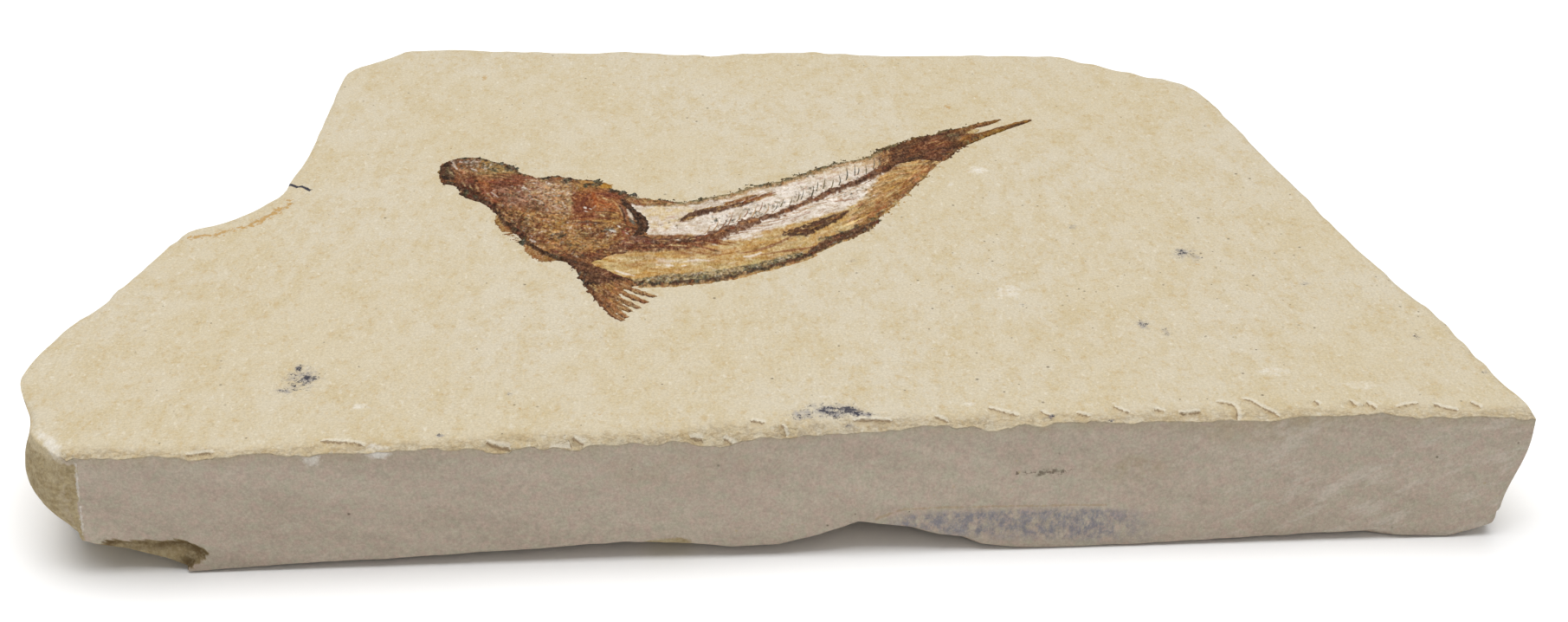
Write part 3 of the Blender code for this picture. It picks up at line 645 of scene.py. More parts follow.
def limestone_material(look):
    """Fine-grained cream limestone. Its own grain comes first, then the sawn face, then painted shade and highlights
    at the flake lines, then stains and skins.
    """
    m = Mix("limestone")
    clouds = m.noise(2.8, 6, 0.72, m.stretched((1, 1.9, 1)))
    colour = m.blend(m.ramp(m.noise(22, 3), 0.4, 0.62, 0, 0.6), look.cream, look.pale)
    colour = m.blend(m.ramp(clouds, 0.44, 0.68, 0, 0.72), colour, look.tan)
    golden = m.times(m.ramp(m.noise(0.8, 3, 0.6, m.stretched((1.2, 1.5, 1))), 0.53, 0.66), m.ramp(clouds, 0.38, 0.58,
        0.15, 1))
    colour = m.blend(m.times(golden, 0.52), colour, look.warm_fleck)
    colour = m.blend(m.ramp(m.noise(0.7, 3, 0.6, m.stretched((1, 1.6, 1), (0, 0, 0.1))), 0.59, 0.72, 0, 0.5), colour,
                     look.white_fleck_and_highlight)

    side, sawn_mark = m.mark("side"), m.mark("sawn")
    bedding = m.stretched((4, 4, 1))
    falling = m.noise(4, 4, 0.6, m.stretched((4, 1, 1), (0, 0.24, 0)))
    rising = m.noise(1.8, 4, 0.65, m.stretched((3.5, 1, 1), (0, -0.4, 0)))
    sawn = m.blend(m.ramp(falling, 0.36, 0.64), look.sawn, look.sawn_band)
    sawn = m.blend(m.ramp(m.noise(1.1, 4, 0.7), 0.44, 0.6, 0, 0.7), sawn, look.sawn_rosy)
    sawn = m.blend(m.ramp(m.noise(1.5, 5, 0.7, m.stretched((1.4, 1, 1))), 0.5, 0.64, 0, 0.75), sawn, look.sawn_green)
    streaks = m.times(m.ramp(rising, 0.5, 0.64), m.ramp(m.mark("streaky"), 0, 1, 0.1, 0.5))
    sawn = m.blend(streaks, sawn, look.sawn_pale)
    olive = m.times(m.ramp(m.noise(2.4, 4, 0.65), 0.38, 0.62), m.mark("olive"))
    sawn = m.blend(m.times(olive, 0.6), sawn, look.olive)
    shade = m.times(m.mark("shaded"), m.ramp(m.noise(2.5, 4), 0.35, 0.65, 0.1, 0.6))
    sawn = m.blend(shade, sawn, look.olive)
    colour = m.blend(m.times(side, sawn_mark), colour, sawn)
    broken = m.times(side, m.sum("SUBTRACT", 1.0, sawn_mark))
    weathered = m.blend(m.ramp(m.noise(6, 5, 0.65, bedding), 0.4, 0.62), look.tan, look.weathered)
    colour = m.blend(m.times(broken, 0.55), colour, weathered)
    crumbled = m.mark("crumbled")
    crumbs = m.times(crumbled, m.ramp(m.noise(1.0, 4, 0.65), 0.4, 0.6))
    colour = m.blend(m.times(crumbs, 0.42), colour, look.warm_fleck)
    # Fine crazing through the crumbled strip, drawn as thin dark cracks in the crevice shade colour.
    crazing = m.sum("ABSOLUTE", m.sum("SUBTRACT", m.noise(1.5, 3, 0.7, m.stretched((2.2, 1, 1))), 0.5))
    crazing = m.times(m.ramp(crazing, 0.06, 0.01), m.ramp(crumbled, 0.35, 0.9))
    colour = m.blend(m.times(crazing, 0.34), colour, look.crevice_shade)
    # Each flake line's step is painted: a dark line of painted shade at the step, a soft band of painted shadow in
    # the weathered colour in front of it, and a pale painted highlight beside it.
    flaked, wobble = m.mark("flake_line"), m.ramp(m.noise(0.6, 4, 0.75), 0.35, 0.65, -0.1, 0.16)
    away = m.plus(m.sum("ABSOLUTE", flaked), wobble)
    below = m.plus(m.times(flaked, -1.0), wobble)
    shade = m.times(m.ramp(below, 0.9, 0.1), m.ramp(below, -0.1, 0.05))
    colour = m.blend(m.times(shade, 0.4), colour, look.weathered)
    colour = m.blend(m.times(m.ramp(away, 0.8, 0.4), m.ramp(flaked, 0.0, 0.2, 0, 0.6)), colour,
                     look.white_fleck_and_highlight)
    colour = m.blend(m.ramp(away, 0.16, 0.06, 0, 0.72), colour, look.crevice_shade)

    skin = m.blend(m.ramp(m.noise(1.3, 5, 0.75), 0.4, 0.6), look.patina, look.patina_dark)
    skin = m.blend(m.ramp(m.noise(0.8, 3, 0.6), 0.52, 0.68, 0, 0.6), skin, look.tan)
    ragged = m.ramp(m.noise(1.5, 4, 0.7), 0.3, 0.7, -0.35, 0.35)
    # Just under the scar's upper lip the skin turns to the dark scar colour: painted shadow under the overhang, over
    # the patina.
    skin = m.blend(m.times(m.mark("scar_lip_shadow"), m.ramp(m.noise(1.8, 4, 0.7), 0.3, 0.55)), skin, look.scar)
    patina = m.ramp(m.plus(m.sum("MAXIMUM", m.mark("patina"), m.mark("low_patina")), ragged), 0.35, 0.7)
    colour = m.blend(patina, colour, skin)
    smoke = m.ramp(m.noise(1.3, 6, 0.8, m.stretched((1, 1, 1.5))), 0.42, 0.58)
    blue = m.times(m.ramp(m.mark("blue_grey"), 0.05, 0.9), smoke)
    colour = m.blend(m.times(blue, 0.85), colour, look.blue_grey)
    rust = m.ramp(m.plus(m.mark("ochre"), m.ramp(m.noise(1.2, 4, 0.7), 0.3, 0.7, -0.7, 0)), 0.02, 0.2)
    colour = m.blend(m.times(rust, 0.7), colour, look.ochre)
    scuff = m.ramp(m.plus(m.mark("chalk"), m.ramp(m.noise(0.9, 3, 0.7), 0.3, 0.7, -0.35, 0)), 0.02, 0.45)
    colour = m.blend(m.times(scuff, 0.7), colour, look.chalk)
    # The crack's dark line is painted shade along the little step where the upper layer ends.
    for name, half, gaps, share, shade in (
        ("ochre_line", 0.95, 0.6, 0.85, look.ochre), ("crack", 0.2, 0.02, 0.95, look.manganese),
        ("dotted_line", 0.3, 0.8, 0.7, look.dark_speck), ("arched_line", 0.16, 0.4, 0.4, look.weathered),
        ("corner_line", 0.17, 0.7, 0.5, look.chalk),
    ):
        away = m.plus(m.sum("ABSOLUTE", m.mark(name)), m.ramp(m.noise(0.8, 4, 0.7), 0.35, 0.65, -half,
            half * gaps * 2))
        colour = m.blend(m.ramp(away, half, half * 0.3, 0, share), colour, shade)
    shadow = m.mark("manganese")
    haze = m.ramp(m.plus(shadow, m.ramp(m.noise(0.9, 4, 0.7), 0.3, 0.7, -0.5, 0.1)), 0.0, 0.5, 0, 0.6)
    colour = m.blend(haze, colour, look.blue_grey)
    soot = m.ramp(m.plus(shadow, m.ramp(m.noise(0.6, 5, 0.85), 0.38, 0.62, -1.05, 0.0)), 0.0, 0.25)
    colour = m.blend(m.times(soot, 0.9), colour, look.manganese)

    peppered = m.mark("peppered")
    for size, chance, radius, shade, lengths in (
        (2.3, 0.4, 0.07, look.dark_speck, (1, 1, 1)), (1.6, 0.34, 0.1, look.patina, (1.6, 1, 1)),
        (9.0, 0.5, 0.02, look.dark_speck, (1, 1, 1)), (1.2, 0.2, 0.09, look.dark_speck, (1, 1, 1)),
    ):
        away, lot, girth = m.cells(size, m.stretched(lengths, (0, 0, size)))
        away = m.sum("DIVIDE", away, m.ramp(girth, 0, 1, 0.35, 1.1))
        kept = m.ramp(m.sum("SUBTRACT", lot, peppered), chance, chance - 0.03)
        speck = m.times(m.ramp(away, radius * 1.8, radius * 0.6), kept)
        colour = m.blend(m.times(speck, 0.75), colour, shade)
    fine = m.ramp(m.noise(0.34, 3, 0.75), 0.28, 0.72, 0.84, 1.15)
    colour = m.blend(1.0, colour, m.grey(fine), "MULTIPLY")
    grit = m.ramp(m.noise(0.9, 5, 0.8), 0.32, 0.68, 0.84, 1.14)
    colour = m.blend(m.times(side, 0.7), colour, m.blend(1.0, colour, m.grey(grit), "MULTIPLY"))
    m.join(colour, m.shader.inputs["Base Color"])
    m.join(m.ramp(m.noise(3, 3), 0.3, 0.7, 0.78, 0.95), m.shader.inputs["Roughness"])
    m.shader.inputs["Specular IOR Level"].default_value = 0.2
    rough = m.plus(m.times(broken, 0.9), m.plus(m.times(crumbled, 0.9), 0.25))
    normal = m.bumped(m.times(m.noise(1.0, 5, 0.65), rough), 0.4)
    normal = m.bumped(m.noise(0.3, 3, 0.7), 0.06, below=normal)
    m.join(normal, m.shader.inputs["Normal"])
    return m.material


def fossil_material(look):
    """Petrified bone: the colour painted on each piece, broken up by fine dark and golden grains, with a waxy
    sheen."""
    m = Mix("petrified_bone")
    colour = m.mark("painted", "Color")
    upright = m.stretched((1, 1.9, 1.9))
    coarse = m.ramp(m.noise(0.9, 3, 0.7, upright), 0.34, 0.66, 1.22, 0.88)
    fine = m.ramp(m.noise(0.36, 3, 0.8, upright), 0.33, 0.67, 1.4, 0.74)
    colour = m.deepened(colour, m.times(coarse, fine))
    golden = m.ramp(m.noise(0.34, 3, 0.7, m.stretched((1, 1.7, 1.7), (0, 0, 0.3))), 0.6, 0.7, 0, 0.14)
    dark = m.ramp(m.noise(0.42, 4, 0.7, m.stretched((1, 1.8, 1.8), (0, 0, -0.4))), 0.58, 0.68, 0, 0.45)
    colour = m.blend(golden, colour, look.golden_grain)
    colour = m.blend(dark, colour, look.dark_grain, "MULTIPLY")
    m.join(colour, m.shader.inputs["Base Color"])
    m.join(m.ramp(m.noise(0.6, 3), 0.3, 0.7, look.sheen - 0.12, look.sheen + 0.15), m.shader.inputs["Roughness"])
    m.shader.inputs["Specular IOR Level"].default_value = 0.1
    m.join(m.bumped(m.noise(0.35, 4, 0.65), 0.07), m.shader.inputs["Normal"])
    return m.material


# ---- Painting on the fish ---------------------------------------------------------------------------------
SOOT, UMBER, BARK = linear(54, 40, 30), linear(74, 49, 34), linear(98, 66, 44)
BRICK, RUST, SIENNA = linear(104, 54, 37), linear(122, 71, 43), linear(142, 97, 60)
OCHRE, GOLD, TAN = linear(170, 126, 54), linear(166, 131, 78), linear(180, 146, 104)
# The bone colour also draws the painted glints, small highlights, among the marks.
STRAW, BLUSH, BONE_AND_GLINT = linear(190, 169, 126), linear(198, 184, 166), linear(216, 206, 194)
SLATE, MOSS, LICHEN = linear(86, 88, 78), linear(74, 70, 48), linear(118, 108, 76)
ROSE, CORAL, EMBER = linear(140, 101, 80), linear(142, 76, 58), linear(154, 90, 48)


class Canvas:
    """A patch of even points over part of the fish, turned to lie along it. Each point has a place in plan, a
    cover from 0 to 1, a relief above the stone in millimetres and a colour, all built up by strokes."""

    def __init__(self, middle, size, turn, step, seed, domes=()):
        u, v = np.meshgrid(
            np.arange(-size[0] / 2, size[0] / 2 + step, step), np.arange(-size[1] / 2, size[1] / 2 + step, step)
        )
        self.middle, self.size, self.step, self.turn = np.array(middle), size, step, math.radians(turn)
        cos, sin = math.cos(self.turn), math.sin(self.turn)
        self.x, self.place_y = middle[0] + u * cos - v * sin, middle[1] + u * sin + v * cos
        self.cover, self.relief = np.zeros(u.shape), np.zeros(u.shape)
        self.colour = np.zeros((*u.shape, 3)) + UMBER
        self.random = np.random.default_rng(seed)
        for dome in domes:
            self.dome(*dome)
        self.y = self.place_y + LIFTED * self.relief
        self.lift = LIFTED * self.relief.max()

    def dome(self, middle, radii, turn, height):
        """Raises the relief to a low dome, where it isn't that high already."""
        turn = math.radians(turn)
        dx, dy = self.x - middle[0], self.place_y - middle[1]
        u = (dx * math.cos(turn) + dy * math.sin(turn)) / radii[0]
        v = (dy * math.cos(turn) - dx * math.sin(turn)) / radii[1]
        self.relief = np.maximum(self.relief, height * np.clip(1 - (u * u + v * v) ** 1.3, 0, 1) ** 0.6)

    def window(self, points, reach):
        """The rows and columns within reach of some points."""
        d = np.asarray(points, float) - self.middle
        reach = reach + self.lift
        cos, sin = math.cos(self.turn), math.sin(self.turn)
        result = []
        for local, size, count in (
            (d[:, 1] * cos - d[:, 0] * sin, self.size[1], self.x.shape[0]),
            (d[:, 0] * cos + d[:, 1] * sin, self.size[0], self.x.shape[1]),
        ):
            low = int((local.min() - reach + size / 2) / self.step)
            high = int((local.max() + reach + size / 2) / self.step) + 2
            result.append(slice(min(max(low, 0), count), min(max(high, 0), count)))
        return tuple(result)

    def lay(self, w, mask, colour, rise=0.0, cover=True):
        """Puts a colour down where mask is, and raises the relief by rise."""
        self.colour[w] += (colour - self.colour[w]) * mask[..., None]
        self.relief[w] += rise * mask
        if cover:
            self.cover[w] = np.maximum(self.cover[w], np.minimum(mask * 1.5, 1))

    def fill(self, outline, colours, amount=1.0, rise=0.0, soft=0.25, ragged=0.25, grain=0.9, cover=True, size=1.6):
        """Fills an outline with a cloudy mixture of two colours."""
        w = self.window(outline, soft + ragged)
        x, y = self.x[w], self.y[w]
        seed = int(self.random.integers(1000))
        edge = within(outline, x, y) + ragged * cloud(x, y, grain, seed)
        mask = np.clip(edge / soft + 0.5, 0, 1) * amount
        first, second = colours
        mixture = smooth(-0.35, 0.35, cloud(x, y, size, seed + 7))[..., None]
        self.lay(w, mask, first + (second - first) * mixture, rise, cover)

    def wash(self, rows):
        """Soft patches of colour laid over what is covered already: two colours, how strong, how soft, outline."""
        for first, second, amount, soft, outline in rows:
            self.fill(outline, (first, second), amount, soft=soft, ragged=soft * 0.8 + 0.2, cover=False, size=1.1)

    def stroke(self, path, width, colour, amount=1.0, rise=0.0, ragged=0.2, cover=True, soft=None):
        """One line of paint. width may change from end to end; rise lifts it with a round back."""
        widths = np.atleast_1d(width)
        soft = soft or self.step * 0.9
        w = self.window(path, widths.max() / 2 + soft)
        x, y = self.x[w], self.y[w]
        if x.size == 0:
            return
        away, share, _ = near(path, x, y)
        half = np.interp(share, np.linspace(0, 1, len(widths)), widths) / 2
        half = half * (1 + ragged * ripple(x, y, 0.45, 5))
        mask = np.clip((half - away) / soft + 0.5, 0, 1) * amount
        back = np.sqrt(np.clip(1 - (away / np.maximum(half, 1e-3)) ** 2, 0, 1))
        self.lay(w, mask, colour, rise * back, cover)

    def marks(self, rows, amount=0.85, rise=0.06, cover=False):
        """Single strokes, tapered at both ends: colour, width, and the points of the path as xy takes them."""
        for colour, width, *tenths in rows:
            path = spline(xy(*tenths), count=3 * len(tenths) // 2)
            self.stroke(path, (width * 0.5, width, width * 0.4), colour, amount, rise, 0.35, cover)

    def fibres(self, outline, flow, count, length, width, colours=(), amount=0.9, rise=0.06, cover=False,
               spread=(0.5, 1.8), sway=0.16):
        """Short strokes scattered through an outline. They lie along flow, headings in degrees at some places, mixed
        by nearness, and sway off it. Without colours each takes the colour it lies on, darker or lighter within
        spread."""
        outline = np.asarray(outline, float)
        low, high = outline.min(0), outline.max(0)
        places = self.random.uniform(low, high, (count * 4, 2))
        places = places[within(outline, places[:, 0], places[:, 1]) > 0][:count]
        stops = np.array(flow, float)
        for x, y in places:
            pull = 1 / ((stops[:, 0] - x) ** 2 + (stops[:, 1] - y) ** 2 + 3) ** 2
            doubled = np.radians(2 * stops[:, 2])
            heading = math.atan2(pull @ np.sin(doubled), pull @ np.cos(doubled)) / 2 + self.random.normal(0, sway)
            half = self.random.uniform(*length) / 2
            ax, ay = math.cos(heading), math.sin(heading)
            sag = self.random.normal(0, 0.1) * half
            path = [
                (x - ax * half, y - ay * half), (x - ay * sag, y + ax * sag), (x + ax * half, y + ay * half)
            ]
            if colours:
                shade = colours[self.random.integers(len(colours))] * self.random.uniform(0.8, 1.2)
            else:
                w = self.window([(x, y)], 0.1)
                if self.x[w].size == 0:
                    continue
                shade = self.colour[w].mean((0, 1)) * math.exp(self.random.uniform(math.log(spread[0]),
                    math.log(spread[1])))
                shade = shade + 0.03 * self.random.normal(0, 1, 3) * shade.max()
            thick = self.random.uniform(*width)
            self.stroke(path, (thick * 0.4, thick, thick * 0.3), shade, amount, rise, cover=cover)

    def bristles(self, line, count, length, width, colours, lean=0.0, side=-1, amount=0.9, rise=0.04, start=0.2):
        """Short strokes that stand out from a line, to its right when side is -1."""
        line = np.asarray(line, float)
        shares = self.random.uniform(0, 1, count)
        feet = spline(line, shares=shares)
        ahead = spline(line, shares=np.clip(shares + 0.01, 0, 1)) - spline(line, shares=np.clip(shares - 0.01, 0, 1))
        ahead /= np.linalg.norm(ahead, axis=1)[:, None]
        for (fx, fy), (ax, ay) in zip(feet, ahead):
            heading = math.atan2(ay, ax) + side * math.radians(90 - lean + self.random.normal(0, 28))
            cos, sin = math.cos(heading), math.sin(heading)
            reach = length[0] + (length[1] - length[0]) * self.random.uniform() ** 2
            path = [(fx - cos * start, fy - sin * start), (fx + cos * reach, fy + sin * reach)]
            shade = colours[self.random.integers(len(colours))] * self.random.uniform(0.8, 1.2)
            thick = self.random.uniform(*width)
            self.stroke(path, (thick, thick * 0.3), shade, amount, rise, 0.6)

    def tufts(self, rows, colours, width=(0.14, 0.34), cover=True, amount=0.85):
        """Little clumps of short upright dabs with soft edges: middle, how far they spread, how many."""
        for middle, spread, count in rows:
            for u, v in self.random.triangular(-0.65, 0, 0.65, (int(count * 1.3), 2)):
                x, y = middle[0] + u * spread[0], middle[1] + v * spread[1]
                dx, dy = self.random.normal(0.03, 0.12), abs(self.random.normal(0.25, 0.15))
                shade = colours[self.random.integers(len(colours))] * self.random.uniform(0.75, 1.25)
                self.stroke([(x, y), (x + dx, y + dy)], self.random.uniform(*width), shade, amount, 0.04, 0.8, cover,
                    0.22)

    def piece(self, name, sink=0.35):
        """The painted patch as a closed solid: it stands over the stone where it is covered, and dips under the
        stone where it isn't."""
        stone = stone_top(self.x, self.place_y)
        cover = self.cover
        top = stone + (0.05 + self.relief) * cover - sink * (1 - cover) ** 1.5
        kept = cover > 0.02
        cells = kept[:-1, :-1] | kept[:-1, 1:] | kept[1:, :-1] | kept[1:, 1:]
        points, quads, used = relief_solid(self.x, self.place_y, top, SLAB_TOP - BED_DEPTH, cells)
        shades = np.clip(self.colour.reshape(-1, 3)[used], 0.002, 1)
        return new_piece(name, points, quads, colours={"painted": np.vstack([shades, shades])})


def along(line, spread, count, higher=0.0):
    """One clump for tufts at each point of a line."""
    return [((x, y + higher), spread, count) for x, y in line]


def strand_mesh(strands):
    """Thin bones as one mesh. Each is a half-round section of seven points carried along its path, tapered at both
    ends: path, widths, height, foot above the stone, colour at each end."""
    all_points, all_quads, all_caps, all_shades = [], [], [], []
    count = 0
    for path, widths, height, foot, shades in strands:
        rings = max(5, int(np.linalg.norm(np.diff(path, axis=0), axis=1).sum() / 0.45))
        line = spline(path, count=rings)
        ahead = np.gradient(line, axis=0)
        ahead /= np.linalg.norm(ahead, axis=1)[:, None]
        left = np.stack([-ahead[:, 1], ahead[:, 0]], 1)
        share = np.linspace(0, 1, rings)
        half = np.interp(share, np.linspace(0, 1, len(widths)), widths) / 2
        angles = np.linspace(0, math.pi, 5)
        across = np.concatenate([np.cos(angles), [-1, 1]])
        up = np.concatenate([np.sin(angles), [0, 0]])
        low = np.concatenate([np.zeros(5), [1, 1]])
        x = line[:, :1] - left[:, :1] * half[:, None] * across
        y = line[:, 1:] - left[:, 1:] * half[:, None] * across
        rise = height * np.sin(math.pi * np.clip(share * 0.94 + 0.03, 0, 1)) ** 0.4
        z = stone_top(line[:, 0], line[:, 1])[:, None] + foot + rise[:, None] * up - (foot + 0.25) * low
        points = np.stack([x, y, z], -1).reshape(-1, 3)
        index = count + np.arange(rings * 7).reshape(rings, 7)
        after = np.roll(index, -1, axis=1)
        all_quads.append(np.stack([index[:-1], after[:-1], after[1:], index[1:]], -1).reshape(-1, 4))
        all_caps += [index[0][::-1], index[-1]]
        all_points.append(points)
        first, second = shades
        tone = first + (second - first) * share[:, None]
        all_shades.append(np.repeat(tone, 7, axis=0))
        count += rings * 7
    return np.vstack(all_points), np.vstack(all_quads), all_caps, np.vstack(all_shades)


def strand_piece(name, strands):
    points, quads, caps, shades = strand_mesh(strands)
    return new_piece(name, points, quads, caps, colours={"painted": np.clip(shades, 0.002, 1)})


# ---- The fish in plan -------------------------------------------------------------------------------------
HEAD_EDGE = xy(
    376, 760, 377, 744, 379, 726, 386, 712, 400, 708, 410, 699, 420, 674, 432, 658, 444, 649, 462, 632, 476, 605,
    487, 576, 502, 554, 515, 530, 517, 510, 530, 502, 550, 478, 578, 460, 598, 438, 620, 451, 646, 470, 674, 482,
    690, 514, 694, 540, 693, 572, 680, 600, 669, 624, 670, 646, 654, 669, 640, 678, 624, 704, 600, 710, 580, 716,
    560, 725, 546, 725, 534, 720, 510, 732, 496, 744, 488, 760, 475, 772, 460, 778, 444, 789, 430, 793, 414, 793,
    396, 790, 382, 782,
)
HEAD_DOMES = (
    ((43.4, 73.6), (6.4, 3.6), -50, 0.42), ((49.6, 67), (8.6, 4.7), -50, 0.5), ((55.6, 63.4), (6, 6.2), -20, 0.5),
    ((59.2, 66.4), (5.8, 2.9), -28, 0.5), ((53, 58.2), (7, 4), -62, 0.45), ((57.8, 51), (6.2, 4.4), -58, 0.4),
    ((62.8, 57.6), (5.6, 7.4), 12, 0.65),
)
# Which way the fibres of the head run: place and heading.
HEAD_FLOW = [
    (38, 75, -70), (41, 77, -45), (45, 77, -30), (42, 70, -62), (45, 68, -64), (48, 71.4, -18), (52, 71, -12),
    (47, 66, -52), (51, 66, -40), (48, 61, -60), (50, 57, -62), (53, 60, -36), (56, 58, -24), (56, 66, -62),
    (58, 69, -70), (54, 53, -35), (58, 50, -28), (62, 51, -8), (66, 51, -4), (60, 64, -70), (63, 64, -50),
    (66, 60, -62), (61, 57, -8), (65, 56, -20), (61, 70, -20), (56, 48, -28), (60, 46, -30),
]
HEAD_WASHES = [
    (SIENNA, GOLD, 0.75, 0.9, xy(476, 640, 520, 606, 580, 620, 584, 560, 640, 534, 670, 506, 610, 474, 556, 494,
        526, 530, 506, 576)),
    (RUST, ROSE, 0.85, 0.8, xy(436, 734, 490, 742, 540, 716, 534, 690, 470, 690, 436, 704)),
    (BRICK, RUST, 0.75, 0.6, xy(450, 730, 506, 726, 526, 708, 494, 696, 450, 704)),
    (SIENNA, RUST, 0.85, 0.6, xy(436, 724, 458, 714, 480, 650, 474, 630, 456, 650)),
    (ROSE, ROSE * 0.8, 0.85, 0.8, xy(466, 694, 520, 686, 526, 636, 494, 624)),
    (UMBER, BRICK, 0.9, 0.5, xy(406, 732, 434, 728, 446, 690, 454, 656, 440, 652, 424, 666, 410, 700)),
    (LICHEN, GOLD, 0.9, 0.4, xy(438, 788, 460, 778, 486, 756, 498, 736, 446, 738, 434, 756)),
    (BARK, SIENNA, 0.9, 0.4, xy(394, 792, 434, 792, 440, 760, 434, 736, 404, 738, 398, 760)),
    (ROSE, TAN, 0.8, 0.5, xy(514, 718, 540, 718, 582, 704, 582, 646, 550, 644, 514, 664)),
    (ROSE, TAN, 0.65, 0.6, xy(534, 660, 582, 660, 582, 596, 544, 608)),
    (SIENNA, GOLD, 0.9, 0.4, xy(576, 714, 624, 706, 644, 676, 590, 672)),
    (BARK, UMBER, 0.85, 0.6, xy(462, 640, 484, 634, 518, 586, 542, 560, 530, 530, 512, 534, 486, 576, 470, 610)),
    (UMBER, BRICK, 0.85, 0.4, xy(486, 596, 500, 594, 512, 558, 500, 556, 488, 576)),
    (UMBER, BRICK, 0.7, 0.6, xy(514, 540, 556, 536, 554, 514, 520, 510)),
    (BRICK, UMBER, 0.85, 0.4, xy(548, 493, 610, 489, 636, 484, 606, 466, 570, 472)),
    (GOLD, TAN, 0.8, 0.3, xy(524, 504, 544, 504, 560, 490, 552, 480, 530, 496)),
    (BRICK, RUST, 0.85, 0.5, xy(600, 486, 640, 490, 660, 502, 636, 476, 614, 466)),
]
GILL_WASHES = [
    (RUST, SIENNA, 0.95, 0.5, xy(584, 676, 610, 676, 636, 662, 662, 624, 674, 588, 676, 550, 662, 524, 624, 524,
        594, 550, 580, 584, 580, 630)),
    (EMBER, SIENNA, 0.8, 0.9, xy(596, 676, 636, 668, 660, 630, 652, 604, 616, 600, 604, 630)),
    (BRICK, RUST, 0.85, 0.7, xy(583, 668, 608, 664, 614, 620, 604, 598, 584, 602)),
    (BRICK, RUST, 0.8, 0.4, xy(616, 668, 648, 664, 666, 644, 654, 639, 620, 654)),
    (SIENNA, BRICK, 0.75, 0.5, xy(582, 594, 620, 600, 660, 590, 664, 560, 620, 556, 586, 564)),
    (GOLD, BARK, 0.8, 0.5, xy(616, 604, 652, 606, 660, 580, 650, 550, 614, 556, 620, 580)),
    (SIENNA, UMBER, 0.7, 0.5, xy(578, 556, 610, 554, 676, 558, 678, 526, 620, 522, 580, 534)),
    (CORAL, BARK, 0.7, 0.4, xy(654, 554, 676, 556, 676, 526, 656, 526)),
]
